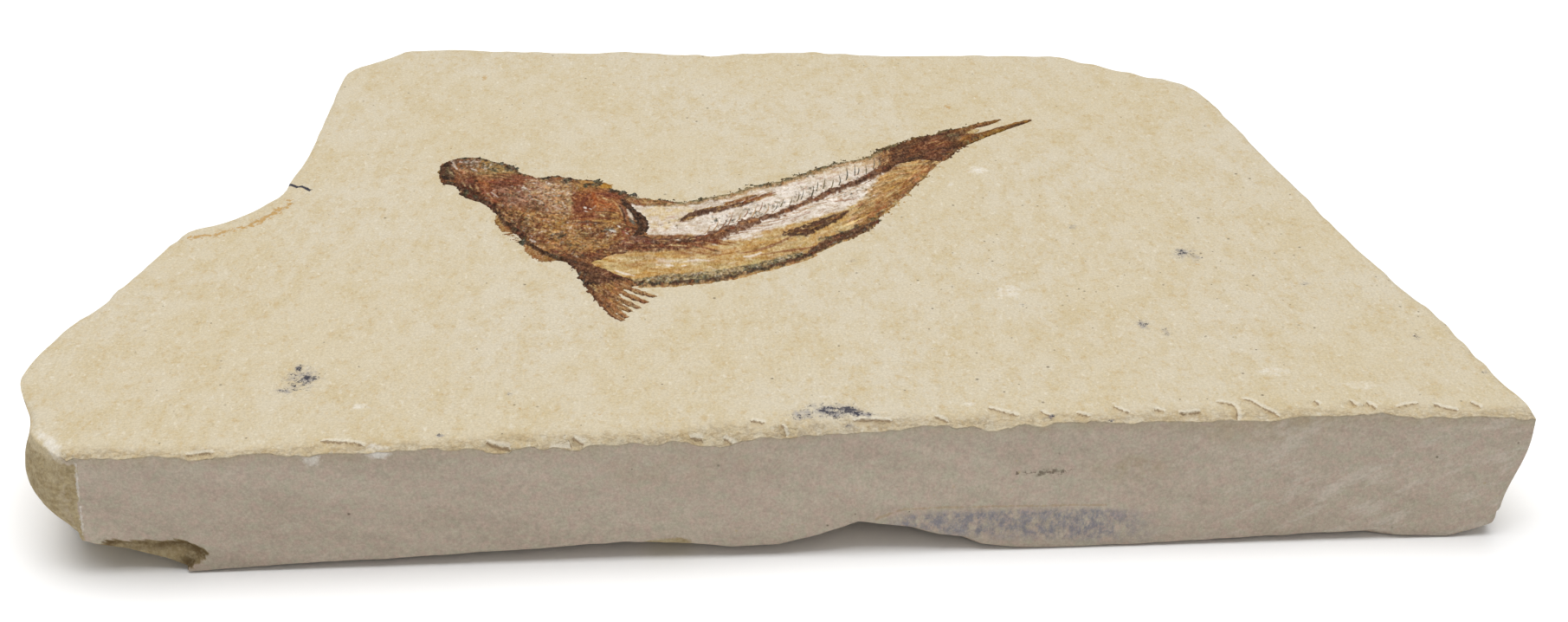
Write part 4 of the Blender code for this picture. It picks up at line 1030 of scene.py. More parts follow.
# Some of the small bone-white strokes here are painted glints: highlights on the skull.
HEAD_MARKS = [
    (BONE_AND_GLINT, 0.55, 392, 788, 398, 768, 405, 754), (TAN, 0.7, 405, 753, 424, 747, 438, 739),
    (SOOT, 0.7, 397, 788, 402, 772), (BRICK, 1.0, 404, 784, 420, 776), (BONE_AND_GLINT, 0.6, 413, 782, 418, 774),
    (UMBER, 0.9, 424, 786, 430, 774, 436, 762), (BONE_AND_GLINT, 0.5, 423, 760, 430, 753, 435, 747),
    (SLATE, 0.3, 418, 762, 436, 739, 449, 734), (UMBER, 0.5, 438, 770, 448, 758), (OCHRE, 0.7, 439, 782, 446, 774),
    (OCHRE, 0.5, 450, 764, 455, 758), (STRAW, 0.4, 453, 776, 458, 770), (MOSS, 0.5, 446, 758, 464, 746, 480, 736),
    (STRAW, 0.35, 462, 754, 478, 742), (LICHEN, 0.4, 426, 746, 446, 740, 468, 734),
    (TAN, 0.4, 446, 732, 468, 728, 490, 717), (BRICK * 0.8, 0.5, 456, 727, 476, 720, 502, 710),
    (BRICK * 0.8, 0.45, 449, 706, 484, 699, 505, 690), (UMBER, 0.35, 470, 710, 494, 704, 520, 700),
    (BRICK, 0.4, 496, 728, 514, 722, 532, 716), (EMBER, 0.5, 440, 714, 445, 702), (EMBER, 0.5, 447, 712, 452, 698),
    (BRICK, 0.4, 456, 700, 466, 670), (STRAW, 0.3, 416, 710, 420, 696), (STRAW, 0.3, 426, 704, 432, 684),
    (TAN, 0.35, 436, 702, 444, 676), (BONE_AND_GLINT, 0.35, 462, 674, 474, 657), (STRAW, 0.35, 453, 673, 463, 659),
    (BARK, 0.35, 470, 680, 486, 656), (UMBER, 0.3, 480, 686, 500, 664, 514, 650), (TAN, 0.3, 486, 684, 504, 666),
    (BARK, 0.35, 496, 690, 516, 674), (LICHEN, 0.4, 484, 672, 496, 658), (LICHEN, 0.5, 424, 686, 424, 668),
    (BRICK, 1.1, 520, 686, 529, 679), (BONE_AND_GLINT, 0.35, 508, 696, 512, 685, 520, 672), (BRICK, 0.7, 536, 666, 542, 676),
    (BONE_AND_GLINT, 0.5, 522, 703, 528, 700), (BONE_AND_GLINT, 0.6, 542, 706, 545, 697), (STRAW, 0.5, 532, 712, 540, 706),
    (BONE_AND_GLINT, 0.45, 552, 682, 556, 675), (MOSS, 0.5, 536, 718, 548, 712), (BARK, 0.5, 549, 686, 550, 672),
    (BONE_AND_GLINT * 0.85, 0.35, 543, 666, 551, 671, 560, 666), (LICHEN, 0.5, 542, 662, 550, 656, 562, 658),
    (BONE_AND_GLINT * 0.8, 0.45, 520, 655, 530, 645, 538, 642), (SLATE, 0.4, 518, 662, 532, 654),
    (STRAW, 0.5, 568, 678, 572, 668), (ROSE, 1.3, 554, 626, 564, 618), (BARK, 0.35, 540, 640, 550, 616),
    (BONE_AND_GLINT, 0.3, 568, 642, 573, 624, 578, 604), (STRAW, 0.4, 577, 670, 581, 660),
    (STRAW, 0.45, 580, 650, 581, 620, 580, 596), (BARK, 0.3, 572, 658, 576, 634), (SLATE, 0.9, 569, 714, 573, 702),
    (UMBER, 0.6, 576, 700, 578, 686), (SOOT, 0.5, 563, 708, 566, 698), (BARK, 0.6, 586, 706, 592, 698),
    (OCHRE, 0.5, 594, 708, 600, 702), (BARK, 0.5, 602, 700, 607, 692), (BRICK, 0.5, 482, 636, 489, 629),
    (CORAL, 0.5, 490, 620, 496, 612), (BONE_AND_GLINT, 0.3, 480, 634, 483, 628), (BONE_AND_GLINT, 0.3, 494, 640, 499, 633),
    (TAN, 0.4, 510, 626, 524, 614), (STRAW, 0.4, 534, 604, 546, 596), (STRAW, 0.35, 518, 592, 528, 582),
    (UMBER, 0.5, 530, 618, 546, 608), (UMBER, 0.4, 524, 580, 538, 570), (STRAW, 0.4, 550, 584, 562, 580),
    (GOLD, 0.9, 564, 574, 574, 570), (TAN, 0.5, 538, 576, 546, 570), (MOSS, 0.9, 516, 576, 526, 564),
    (MOSS, 0.7, 508, 566, 516, 556), (STRAW, 0.4, 544, 552, 554, 546), (UMBER, 0.6, 554, 560, 564, 552),
    (BONE_AND_GLINT, 0.5, 528, 521, 536, 514), (BONE_AND_GLINT, 0.35, 526, 536, 530, 530), (BRICK, 0.6, 540, 532, 552, 524),
    (UMBER, 0.5, 554, 526, 560, 514), (SLATE, 0.7, 569, 516, 576, 509), (MOSS, 0.6, 576, 510, 584, 502),
    (OCHRE, 0.6, 580, 534, 590, 528), (UMBER, 0.6, 594, 526, 606, 520), (GOLD, 0.6, 590, 506, 604, 502),
    (UMBER, 0.5, 614, 530, 624, 522), (BONE_AND_GLINT, 0.4, 593, 471, 598, 467), (TAN, 0.5, 574, 498, 584, 494),
    (UMBER, 0.55, 628, 486, 638, 488), (SOOT, 0.5, 529, 506, 542, 490, 560, 474),
    (MOSS, 0.7, 548, 480, 564, 469, 586, 457), (BONE_AND_GLINT * 0.7, 0.3, 556, 479, 564, 473),
    (BRICK, 0.8, 554, 490, 570, 486), (RUST, 0.6, 584, 484, 604, 478), (OCHRE, 0.5, 560, 550, 570, 544),
    (STRAW, 0.35, 586, 550, 596, 544), (STRAW, 0.35, 600, 540, 610, 536), (BONE_AND_GLINT, 0.3, 598, 514, 602, 510),
    (BONE_AND_GLINT, 0.35, 524, 569, 527, 563), (TAN, 0.4, 500, 606, 510, 594), (STRAW, 0.3, 496, 584, 500, 576),
    (BONE_AND_GLINT, 0.3, 514, 550, 518, 546),
]
# The first three bone-white dabs are painted glints: highlights on the gill cover.
GILL_MARKS = [
    (BONE_AND_GLINT, 0.42, 602, 620, 605, 615), (BONE_AND_GLINT, 0.35, 610, 615, 613, 611), (BONE_AND_GLINT, 0.3, 603, 608, 607, 604),
    (EMBER, 0.7, 613, 666, 616, 646, 620, 626), (BRICK, 0.6, 608, 662, 599, 634, 590, 612),
    (STRAW, 0.4, 628, 648, 638, 640), (EMBER, 0.5, 626, 634, 640, 624), (TAN, 0.3, 642, 640, 653, 616, 659, 586),
    (ROSE, 0.4, 650, 636, 660, 606, 664, 574), (UMBER, 0.4, 652, 624, 660, 596, 663, 564),
    (UMBER, 0.35, 638, 614, 648, 608), (BLUSH, 0.5, 666, 604, 670, 588, 673, 576), (SLATE, 0.5, 669, 580, 674, 564),
    (STRAW, 0.45, 626, 595, 632, 590), (BONE_AND_GLINT, 0.35, 652, 559, 656, 553), (BARK, 0.5, 610, 602, 634, 604, 650, 596),
    (BRICK, 0.6, 586, 584, 610, 588, 640, 580), (GOLD, 0.5, 616, 576, 634, 574),
    (UMBER, 0.5, 586, 570, 610, 572, 630, 564), (TAN, 0.45, 588, 578, 598, 576), (SLATE, 1.0, 636, 548, 648, 542),
    (BONE_AND_GLINT * 0.8, 0.6, 642, 545, 649, 539), (SOOT, 0.5, 628, 544, 636, 540), (CORAL, 0.6, 659, 540, 666, 534),
    (CORAL, 0.5, 664, 550, 669, 544), (BONE_AND_GLINT * 0.8, 0.3, 664, 536, 668, 530), (BARK, 0.4, 654, 564, 666, 554),
    (BRICK, 0.6, 618, 662, 636, 659, 652, 652), (GOLD, 0.6, 604, 560, 616, 554), (STRAW, 0.35, 646, 570, 650, 562),
]
JAW_LINE = xy(
    389, 710, 406, 704, 420, 673, 432, 659, 444, 650, 463, 633, 476, 606, 489, 574, 504, 553, 516, 530, 521, 514,
    532, 500, 552, 478, 578, 461, 598, 449,
)
CROWN_LINE = xy(
    666, 656, 650, 672, 640, 678, 624, 704, 600, 710, 580, 714, 560, 724, 546, 723, 534, 719, 510, 730, 496, 744,
    487, 759, 474, 770, 460, 776, 444, 787, 430, 794, 412, 796, 394, 791,
)
BACK_EDGE = xy(
    654, 664, 680, 644, 700, 638, 725, 630, 750, 629, 775, 638, 800, 648, 825, 660, 850, 675, 875, 686, 900, 696,
    925, 714, 950, 730, 975, 745, 1000, 756, 1025, 766, 1042, 778, 1054, 793,
)
BELLY_EDGE = xy(
    604, 444, 626, 416, 660, 390, 700, 379, 750, 380, 784, 386, 800, 392, 824, 398, 844, 408, 880, 428, 910, 444,
    934, 462, 960, 485, 984, 503, 1014, 532, 1034, 570, 1056, 603, 1076, 635, 1096, 668, 1114, 698, 1130, 728,
    1146, 754,
)
BACKBONE = xy(
    780, 514, 800, 529, 820, 543, 840, 558, 860, 571, 880, 581, 900, 596, 920, 613, 940, 628, 960, 646, 980, 662,
    1000, 677, 1020, 694, 1040, 713, 1054, 730, 1064, 750,
)
BODY_FLOW = [
    (66, 64, -14), (72, 63, -6), (80, 65, 24), (90, 70, 36), (100, 76, 26), (70, 46, 4), (78, 45, 6), (86, 48, 24),
    (94, 54, 42), (102, 58, 50), (108, 67, 56), (112, 73, 58), (80, 52, 26), (88, 56, 30), (96, 61, 38),
        (104, 68, 36),
    (108, 73, 12), (72, 55, 4), (70, 50, -2), (78, 50, -8),
]
BODY_WASHES = [
    (STRAW, GOLD * 1.1, 1.0, 0.8, xy(580, 440, 620, 500, 700, 504, 760, 500, 800, 506, 840, 508, 866, 536, 910, 556,
        950, 576, 990, 600, 1014, 630, 1030, 670, 1050, 704, 1070, 734, 1086, 756, 1150, 760, 1120, 700, 1060, 600,
        1020, 530, 970, 480, 910, 430, 840, 390, 760, 360, 660, 360)),
    (GOLD, TAN, 0.7, 0.8, xy(646, 474, 700, 478, 726, 468, 690, 460, 650, 464)),
    (GOLD, OCHRE, 0.35, 0.8, xy(640, 446, 690, 436, 750, 434, 800, 440, 760, 418, 690, 414, 664, 428)),
    (SIENNA, TAN, 0.55, 0.8, xy(724, 484, 780, 484, 826, 484, 800, 464, 750, 464)),
    (STRAW, BLUSH, 0.6, 0.8, xy(710, 454, 750, 456, 790, 452, 780, 440, 720, 430)),
    (TAN, STRAW, 0.6, 0.6, xy(840, 524, 900, 544, 950, 572, 920, 540, 876, 510)),
    (SIENNA, GOLD, 0.8, 0.8, xy(994, 540, 1018, 540, 1040, 576, 1074, 628, 1106, 680, 1144, 750, 1108, 730, 1084, 694,
        1046, 644, 1014, 600)),
    (BARK, SIENNA, 0.6, 0.5, xy(1016, 570, 1034, 570, 1070, 624, 1106, 682, 1094, 686, 1056, 634)),
    (GOLD, TAN, 0.8, 0.7, xy(1046, 706, 1086, 750, 1120, 754, 1110, 720, 1070, 660, 1026, 640)),
    (LICHEN, SLATE, 0.8, 0.5, xy(686, 398, 720, 409, 770, 414, 820, 426, 860, 442, 920, 472, 910, 448, 850, 416,
        780, 390, 700, 384)),
    (STRAW, LICHEN, 0.6, 0.4, xy(740, 414, 800, 424, 850, 440, 840, 430, 780, 408)),
    (TAN, GOLD, 0.7, 0.8, xy(1026, 768, 1066, 796, 1068, 750, 1040, 726, 1020, 740)),
    (SIENNA, BARK, 0.8, 0.8, xy(1042, 780, 1080, 800, 1080, 730, 1050, 716, 1048, 750)),
    (STRAW * 1.08, BLUSH, 0.75, 1.2, xy(684, 624, 740, 618, 770, 604, 740, 570, 720, 544, 700, 554)),
    (STRAW, TAN, 0.35, 1.0, xy(800, 650, 880, 686, 960, 734, 1030, 760, 1020, 730, 940, 696, 860, 660, 800, 630)),
]
BAND = xy(
    634, 482, 660, 478, 700, 478, 740, 482, 780, 490, 800, 500, 806, 526, 780, 524, 740, 524, 690, 527, 660, 528,
)
# The first two bone-white strokes, on the dark band, are painted glints.
BODY_MARKS = [
    (BONE_AND_GLINT, 0.9, 700, 487, 712, 484), (BONE_AND_GLINT, 0.7, 716, 483, 728, 486), (BLUSH, 0.8, 720, 450, 734, 449),
    (BONE_AND_GLINT, 0.7, 720, 439, 732, 435), (BONE_AND_GLINT, 0.4, 708, 439, 714, 438), (BONE_AND_GLINT, 0.6, 748, 447, 766, 451, 782, 448),
    (BONE_AND_GLINT, 0.5, 744, 434, 750, 436), (BONE_AND_GLINT, 0.6, 652, 425, 666, 415, 678, 409),
    (STRAW, 0.6, 626, 456, 650, 444, 676, 426), (BONE_AND_GLINT, 0.7, 832, 457, 846, 460, 856, 468),
    (OCHRE, 0.5, 706, 470, 714, 468), (OCHRE, 0.6, 690, 418, 710, 415), (GOLD, 0.6, 660, 440, 700, 428, 740, 424),
    (GOLD, 0.5, 654, 472, 664, 471), (SIENNA, 0.4, 750, 482, 780, 468, 796, 464), (SIENNA, 0.4, 734, 478, 760, 468),
    (RUST, 0.5, 774, 486, 796, 477), (MOSS, 0.35, 784, 479, 800, 473), (SIENNA, 0.35, 780, 460, 806, 466, 830, 476),
    (TAN, 0.4, 810, 460, 840, 468, 870, 484), (RUST, 0.7, 828, 468, 854, 476, 876, 492, 894, 508, 912, 524),
    (SIENNA, 0.8, 856, 462, 890, 470, 920, 478, 940, 486), (RUST, 0.4, 880, 469, 910, 475, 936, 484),
    (BONE_AND_GLINT, 0.7, 796, 512, 820, 514, 844, 520), (BONE_AND_GLINT, 0.6, 830, 532, 854, 536), (BONE_AND_GLINT, 0.8, 850, 514, 860, 520),
    (TAN, 0.3, 800, 504, 830, 508, 860, 524), (STRAW, 0.35, 774, 500, 796, 492, 810, 492),
    (BONE_AND_GLINT, 0.3, 780, 498, 796, 492), (BONE_AND_GLINT, 0.45, 856, 560, 854, 552, 858, 546),
    (ROSE, 0.25, 840, 544, 870, 550, 900, 568), (ROSE, 0.25, 880, 566, 910, 574, 936, 590),
    (SIENNA, 0.3, 924, 586, 936, 594), (SIENNA, 0.3, 970, 622, 990, 626, 1010, 630),
    (ROSE, 0.25, 960, 624, 980, 622, 1000, 628), (TAN, 0.5, 1006, 610, 1020, 626), (BONE_AND_GLINT, 0.6, 890, 590, 910, 584),
    (BONE_AND_GLINT, 0.7, 960, 620, 980, 610), (BONE_AND_GLINT, 0.9, 944, 606, 966, 604), (BONE_AND_GLINT, 0.8, 1000, 710, 1006, 702),
    (BONE_AND_GLINT, 0.6, 934, 660, 944, 654), (BONE_AND_GLINT, 0.5, 1020, 684, 1034, 680), (BONE_AND_GLINT, 0.6, 880, 598, 890, 602),
    (EMBER, 0.6, 1030, 586, 1046, 604), (STRAW, 0.4, 1046, 630, 1066, 654), (STRAW, 0.4, 1056, 680, 1080, 702),
    (BARK, 0.4, 1076, 706, 1094, 709), (STRAW, 0.5, 1074, 736, 1100, 740, 1126, 744),
    (BARK, 0.35, 1064, 670, 1084, 686), (UMBER, 0.4, 1012, 578, 1020, 582), (BARK, 0.9, 1116, 740, 1136, 754),
]
BLADES = [  # loose dark bones: path, widths, colours
    (xy(744, 569, 756, 583, 774, 596, 794, 604, 814, 612, 834, 620, 846, 624), (0.5, 1.7, 1.9, 1.7, 1.8, 1.5, 0.7),
        (BARK * 0.85, UMBER)),
    (xy(810, 620, 834, 634, 854, 647), (0.5, 0.9, 0.4), (SIENNA, TAN)),
    (xy(840, 625, 860, 639, 880, 652), (0.8, 0.7, 0.2), (RUST, SIENNA)),
    (xy(900, 522, 920, 529, 940, 545, 960, 562, 976, 576, 987, 587), (2.0, 2.7, 2.3, 2.1, 1.6, 0.6),
        (UMBER * 1.15, BRICK * 0.8)),
]


def paint_skull():
    c = Canvas((53, 63.6), (43.8, 24.6), -47, 0.14, 11, HEAD_DOMES)
    head = spline(HEAD_EDGE, count=170, closed=True)
    fringe = (GOLD * 0.8, TAN * 0.8, SIENNA, GOLD * 0.65, SIENNA * 0.8)
    for lump in (
        xy(476, 610, 473, 596, 474, 578, 482, 560, 486, 550, 502, 548, 510, 536, 516, 546, 498, 570, 486, 606),
        xy(520, 510, 522, 490, 534, 470, 546, 459, 560, 458, 570, 466, 552, 480, 532, 504),
    ):
        c.fill(lump, (GOLD * 0.8, SIENNA), 0.95, ragged=0.5, grain=0.5)
        c.fibres(lump, [(50, 55, -75)], 110, (0.4, 1.3), (0.14, 0.3), fringe, 0.8, cover=True, sway=0.5)
    c.bristles(xy(496, 546, 508, 528, 518, 508), 14, (0.6, 2.2), (0.15, 0.26), fringe, lean=-25)
    c.fill(head, (SIENNA, BARK), ragged=0.4, grain=0.7, rise=0.08)
    c.wash(HEAD_WASHES)
    c.fibres(head, HEAD_FLOW, 800, (0.8, 2.6), (0.2, 0.42), spread=(0.5, 1.7), rise=0.05)
    c.wash(GILL_WASHES)
    c.marks(HEAD_MARKS, 0.7)
    c.fibres(head, HEAD_FLOW, 900, (0.5, 1.9), (0.14, 0.28), spread=(0.42, 2.1), rise=0.05, amount=0.75, sway=0.3)
    mottled = xy(470, 640, 520, 600, 580, 620, 586, 580, 660, 570, 680, 526, 640, 490, 590, 464, 530, 510, 500, 560)
    c.fibres(mottled, [(50, 60, -72), (62, 52, -80)], 900, (0.2, 0.9), (0.16, 0.36),
             (UMBER, STRAW, GOLD, BARK, BRICK, TAN, SIENNA, BARK, GOLD, RUST), 0.65, sway=0.7)
    c.fibres(xy(506, 720, 584, 710, 584, 600, 540, 610, 510, 660), [(54, 66, 80)], 260, (0.2, 0.9), (0.16, 0.34),
             (BLUSH, BRICK, TAN, BARK, ROSE, STRAW, CORAL, LICHEN, BARK), 0.6, sway=0.7)
    c.fibres(head, [(50, 60, -80)], 1300, (0.15, 0.6), (0.12, 0.26), spread=(0.36, 2.6), rise=0.04, amount=0.75,
        sway=0.8)
    c.tufts([
        ((42.4, 77.6), (3.4, 3.4), 40), ((45, 75.8), (3, 3), 26), ((55.4, 67), (7, 7), 50), ((50, 67), (8, 8), 30),
            ((58, 56), (12, 14), 60),
        ((65, 53.4), (5, 4), 20),
    ], (BLUSH, BLUSH, STRAW, BONE_AND_GLINT), (0.08, 0.18), False, 0.6)
    c.tufts([((42.4, 77), (4, 4), 50), ((46, 76), (4, 3), 40), ((57, 53), (2, 1.6), 34), ((52, 62), (12, 14), 90),
        ((60, 50), (6, 5), 40)],
            (SOOT, UMBER, SLATE, MOSS), (0.1, 0.22), False, 0.7)
    c.marks(GILL_MARKS, rise=0.04)
    paint_gill_rim_shadow(c)
    paint_head_rim(c)
    return c


def paint_gill_rim_shadow(c):
    """The gill cover's rim, a black crescent that stands clear of the body: painted shadow that the raised gill cover
    casts on the body.
    """
    rim = spline(xy(656, 642, 665, 620, 676, 601, 686, 576, 690, 556, 686, 538, 678, 524), count=20)
    c.stroke(rim, (0.5, 0.9, 1.1, 1.6, 1.8, 1.5, 0.9), SOOT * 1.15, 1.0, 0.12, ragged=0.3)
    c.bristles(rim, 90, (0.35, 0.75), (0.2, 0.4), (SOOT, UMBER, BARK), side=1, lean=30)
    c.fibres(xy(670, 610, 686, 590, 696, 564, 690, 534, 680, 530, 682, 564), [(68, 60, -60), (69, 54, -100)], 60,
             (0.4, 1.2), (0.15, 0.3), (UMBER, SOOT, BARK, UMBER * 1.3), 0.7)
    c.marks([(BLUSH, 0.4, 665, 608, 669, 594, 674, 580), (SLATE, 0.35, 674, 574, 677, 558), (BARK, 0.5, 674, 554, 675,
        536)], 0.75)


def paint_head_rim(c):
    """Dark lips along the jaw, and black, green and ochre tufts along the crown."""
    jaw = spline(JAW_LINE, count=70)
    c.stroke(jaw, (0.8, 0.9, 0.8, 0.7, 0.9, 0.9, 0.7, 0.8, 0.7), UMBER, 0.8, 0.08, ragged=0.7)
    c.bristles(jaw, 260, (0.0, 0.4), (0.18, 0.36), (UMBER, SOOT, BARK, MOSS, UMBER))
    c.fibres(xy(400, 714, 422, 662, 470, 610, 504, 546, 520, 520, 526, 534, 500, 594, 476, 634, 436, 676, 420, 710),
             HEAD_FLOW, 130, (0.4, 1.5), (0.18, 0.35), (SOOT, UMBER, BARK, BRICK, TAN, UMBER), 0.8)
    tip = xy(375, 762, 376, 740, 386, 722, 402, 716, 404, 736, 396, 756, 393, 780, 384, 778)
    c.fill(tip, (SOOT, UMBER), 0.9, 0.08, soft=0.5, cover=False)
    c.fibres(tip, HEAD_FLOW, 60, (0.4, 1.4), (0.2, 0.4), (SOOT, UMBER, BARK, LICHEN, UMBER), 0.85)
    c.marks([(LICHEN, 0.5, 376, 762, 375, 750, 377, 736), (GOLD * 0.8, 0.3, 376, 756, 376, 742),
             (STRAW * 0.7, 0.4, 394, 746, 400, 734), (SOOT, 0.9, 384, 778, 386, 764), (SOOT, 0.8, 382, 732, 394,
                 719)])
    crown = spline(CROWN_LINE, count=80)
    c.stroke(crown, (0.5, 0.6, 0.5, 0.7, 0.5, 0.6, 0.5, 0.6), BARK, 0.5, 0.04, ragged=0.8)
    c.bristles(crown, 260, (0.0, 0.36), (0.16, 0.34), (UMBER, MOSS, BARK, LICHEN, SIENNA))
    c.fill(xy(624, 682, 642, 679, 642, 696, 630, 700, 623, 694), (OCHRE, OCHRE * 0.8), 0.9, ragged=0.3, grain=0.5)
    c.tufts([
        ((48.6, 75.6), (1.6, 2), 44), ((46.8, 77.2), (0.9, 1), 20), ((43.4, 79.2), (0.6, 0.7), 12),
            ((41, 79.3), (0.8, 0.6), 12),
        ((54.2, 71.9), (1.2, 0.8), 24), ((55.6, 72.3), (0.8, 0.6), 12), ((57.2, 71), (1, 2), 34),
            ((61.8, 69.9), (1.1, 2.4), 50),
        ((60.2, 69.2), (0.9, 1.4), 12), ((64.4, 67), (1.2, 1), 34), ((65.6, 66.4), (1, 1), 24),
            ((67.2, 65.8), (1.4, 0.7), 26),
        ((42.4, 67.6), (0.6, 1.8), 24), ((43.8, 65.8), (0.6, 0.8), 10), ((51.7, 51.2), (0.7, 1), 24),
    ], (SOOT, MOSS, SLATE, UMBER, MOSS * 0.8))


def paint_body():
    c = Canvas((88.5, 59.5), (62, 36), 38, 0.16, 21)
    edge, belly = spline(BACK_EDGE, count=60), spline(BELLY_EDGE, count=80)
    c.fill(np.vstack([belly, edge[::-1]]), (BLUSH * 0.92, BONE_AND_GLINT * 0.97), ragged=0.25, grain=0.7, rise=0.03, size=1.2)
    c.wash(BODY_WASHES)
    paint_film(c, edge)
    paint_belly(c)
    paint_back(c, edge)
    return c


def paint_film(c, edge):
    """The pale film between back and belly: white and pink glints, grey specks and fine brown threads."""
    film = xy(
        700, 570, 750, 600, 820, 650, 880, 680, 960, 726, 1030, 754, 1046, 730, 1030, 660, 970, 600, 900, 560,
        820, 520, 760, 530, 700, 536,
    )
    c.fibres(film, BODY_FLOW, 420, (0.5, 2.0), (0.16, 0.4), (BONE_AND_GLINT, BLUSH, BONE_AND_GLINT, BLUSH * 0.82, BLUSH * 0.9, ROSE * 1.3,
        TAN), 0.55, 0.02)
    c.fibres(film, [(84, 60, 80)], 420, (0.2, 0.9), (0.14, 0.3), spread=(0.85, 1.25), amount=0.5, rise=0.02, sway=0.6)
    c.fibres(xy(690, 570, 750, 570, 780, 536, 740, 524, 700, 530), BODY_FLOW, 60, (0.3, 1.2), (0.14, 0.3),
        (TAN, ROSE, STRAW, BONE_AND_GLINT), 0.5, 0.02)
    under = xy(790, 514, 840, 534, 900, 570, 970, 620, 1034, 684, 1046, 674, 1010, 620, 940, 574, 870, 536, 820, 506)
    c.fibres(under, BODY_FLOW, 170, (0.6, 2.6), (0.12, 0.26), (BONE_AND_GLINT, ROSE, BONE_AND_GLINT, TAN, BLUSH, SIENNA * 1.2), 0.6, 0.03)
    c.tufts([
        ((81.6, 56.6), (6, 2.6), 56), ((84.8, 59), (4, 2.6), 26), ((88.6, 61), (5, 3), 34), ((93.4, 65.2), (5, 4),
            36),
        ((100, 64.8), (7, 4), 44), ((73, 55.6), (5, 3), 6),
    ], (SLATE, SLATE * 0.7, SOOT, LICHEN), (0.07, 0.15), False, 0.85)
    c.tufts([((82, 57), (5, 2), 24), ((93, 65), (10, 7), 40), ((99, 66), (7, 4), 30), ((97, 61), (8, 4), 24)],
        (BONE_AND_GLINT * 1.1, BONE_AND_GLINT * 1.15),
            (0.14, 0.3), False, 0.8)


def paint_belly(c):
    """The golden belly, the speckled row of scutes under it, the dark wedge and the fin behind it."""
    low = xy(
        610, 456, 660, 488, 740, 488, 820, 490, 900, 540, 990, 600, 1020, 630, 1040, 580, 960, 496, 860, 434,
        760, 410, 670, 406,
    )
    c.fibres(low, BODY_FLOW, 380, (1.0, 4.0), (0.25, 0.8), amount=0.4, rise=0.02, spread=(0.68, 1.35))
    c.fibres(low, BODY_FLOW, 240, (0.4, 1.6), (0.15, 0.4), (GOLD, STRAW, BLUSH, TAN, OCHRE, TAN, STRAW * 1.1), 0.45,
        0.02, sway=0.4)
    c.fibres(low, [(84, 47, 84)], 520, (0.2, 0.8), (0.16, 0.34), spread=(0.66, 1.4), amount=0.55, rise=0.02, sway=0.6)
    fin = xy(
        986, 540, 1018, 540, 1040, 576, 1074, 628, 1106, 680, 1146, 752, 1090, 752, 1050, 700, 1016, 640, 996, 590,
    )
    c.fibres(fin, BODY_FLOW, 380, (0.9, 4.0), (0.16, 0.4), amount=0.7, rise=0.04, spread=(0.55, 1.6))
    c.fibres(fin, BODY_FLOW, 150, (0.6, 2.4), (0.14, 0.3), (EMBER, RUST, STRAW, BARK, TAN, SIENNA, BARK), 0.6, 0.04)
    rim = xy(1006, 544, 1034, 570, 1076, 634, 1114, 698, 1144, 754, 1126, 746, 1096, 696, 1056, 636, 1016, 580)
    c.fibres(rim, BODY_FLOW, 190, (0.6, 3.0), (0.16, 0.36), (EMBER, SIENNA, SIENNA, RUST, BARK, OCHRE * 0.8), 0.6,
        0.05)
    speckled = xy(666, 396, 720, 410, 780, 416, 840, 434, 920, 470, 920, 450, 860, 418, 790, 386, 700, 378)
    c.fill(speckled, (LICHEN, TAN * 0.8), 0.45, soft=0.8, ragged=0.4, cover=False)
    c.fibres(speckled, [(70, 39, 70), (90, 45, 70)], 900, (0.2, 0.8), (0.14, 0.3), (LICHEN, SLATE, MOSS, STRAW,
        BLUSH * 0.9, SOOT, STRAW * 0.9, BARK), 0.65, 0.03, sway=0.8)
    scutes = spline(xy(664, 394, 686, 384, 720, 382, 756, 386, 784, 390, 810, 398, 840, 412, 880, 430, 910, 446,
        934, 464), count=60)
    c.fill(np.vstack([scutes + (0, 0.2), (scutes + (0.4, -0.6))[::-1]]), (TAN, GOLD * 0.8), 0.6, ragged=0.6,
        grain=0.8, soft=0.4)
    c.stroke(scutes + (0, 0.2), (0.3, 1.2, 0.9, 1.3, 0.7, 1.2, 0.5, 0.9, 0.5, 0.8, 0.4), UMBER, 0.75, 0.08,
        ragged=0.9)
    c.tufts(along(scutes[::5], (2.2, 0.9), 30, +0.3), (SOOT, MOSS, UMBER, BARK, SLATE * 0.7), (0.14, 0.34))
    c.tufts(along(scutes[:40:6], (2.2, 0.7), 6, -0.3), (SIENNA, TAN * 0.9, BARK), (0.14, 0.28))
    c.marks([(BARK, 0.7, 880, 434, 900, 442, 916, 448), (SIENNA, 0.5, 890, 432, 910, 439)], 0.8, 0.05, True)
    wedge = xy(916, 456, 936, 464, 960, 486, 986, 504, 1016, 530, 1034, 560, 1024, 556, 998, 538, 964, 518, 940, 494)
    c.fill(wedge, (UMBER * 1.2, BARK), 0.95, rise=0.08, ragged=0.5, grain=0.5)
    c.fibres(wedge, BODY_FLOW, 150, (0.3, 1.4), (0.14, 0.32), (SOOT, UMBER, BARK, SLATE, BRICK, BARK), 0.75,
        cover=True, sway=0.4)
    c.tufts(along(xy(950, 504, 976, 522, 1000, 539, 1024, 560, 1040, 582), (2, 1), 22), (LICHEN, MOSS, SLATE, BARK),
        (0.12, 0.28), amount=0.6)
    c.tufts(along(BELLY_EDGE[14:], (1.8, 1), 15, +0.3), (LICHEN, BARK, SIENNA, MOSS, GOLD), (0.14, 0.3), amount=0.65)
    c.tufts([((104.6, 58.4), (1.4, 1.6), 16), ((106.4, 61.2), (1.8, 2), 20), ((108.4, 63.8), (1.4, 1.4), 12)],
        (STRAW, OCHRE * 1.1, STRAW * 0.9), (0.2, 0.4), amount=0.5)
    c.marks(BODY_MARKS, 0.7, 0.03)


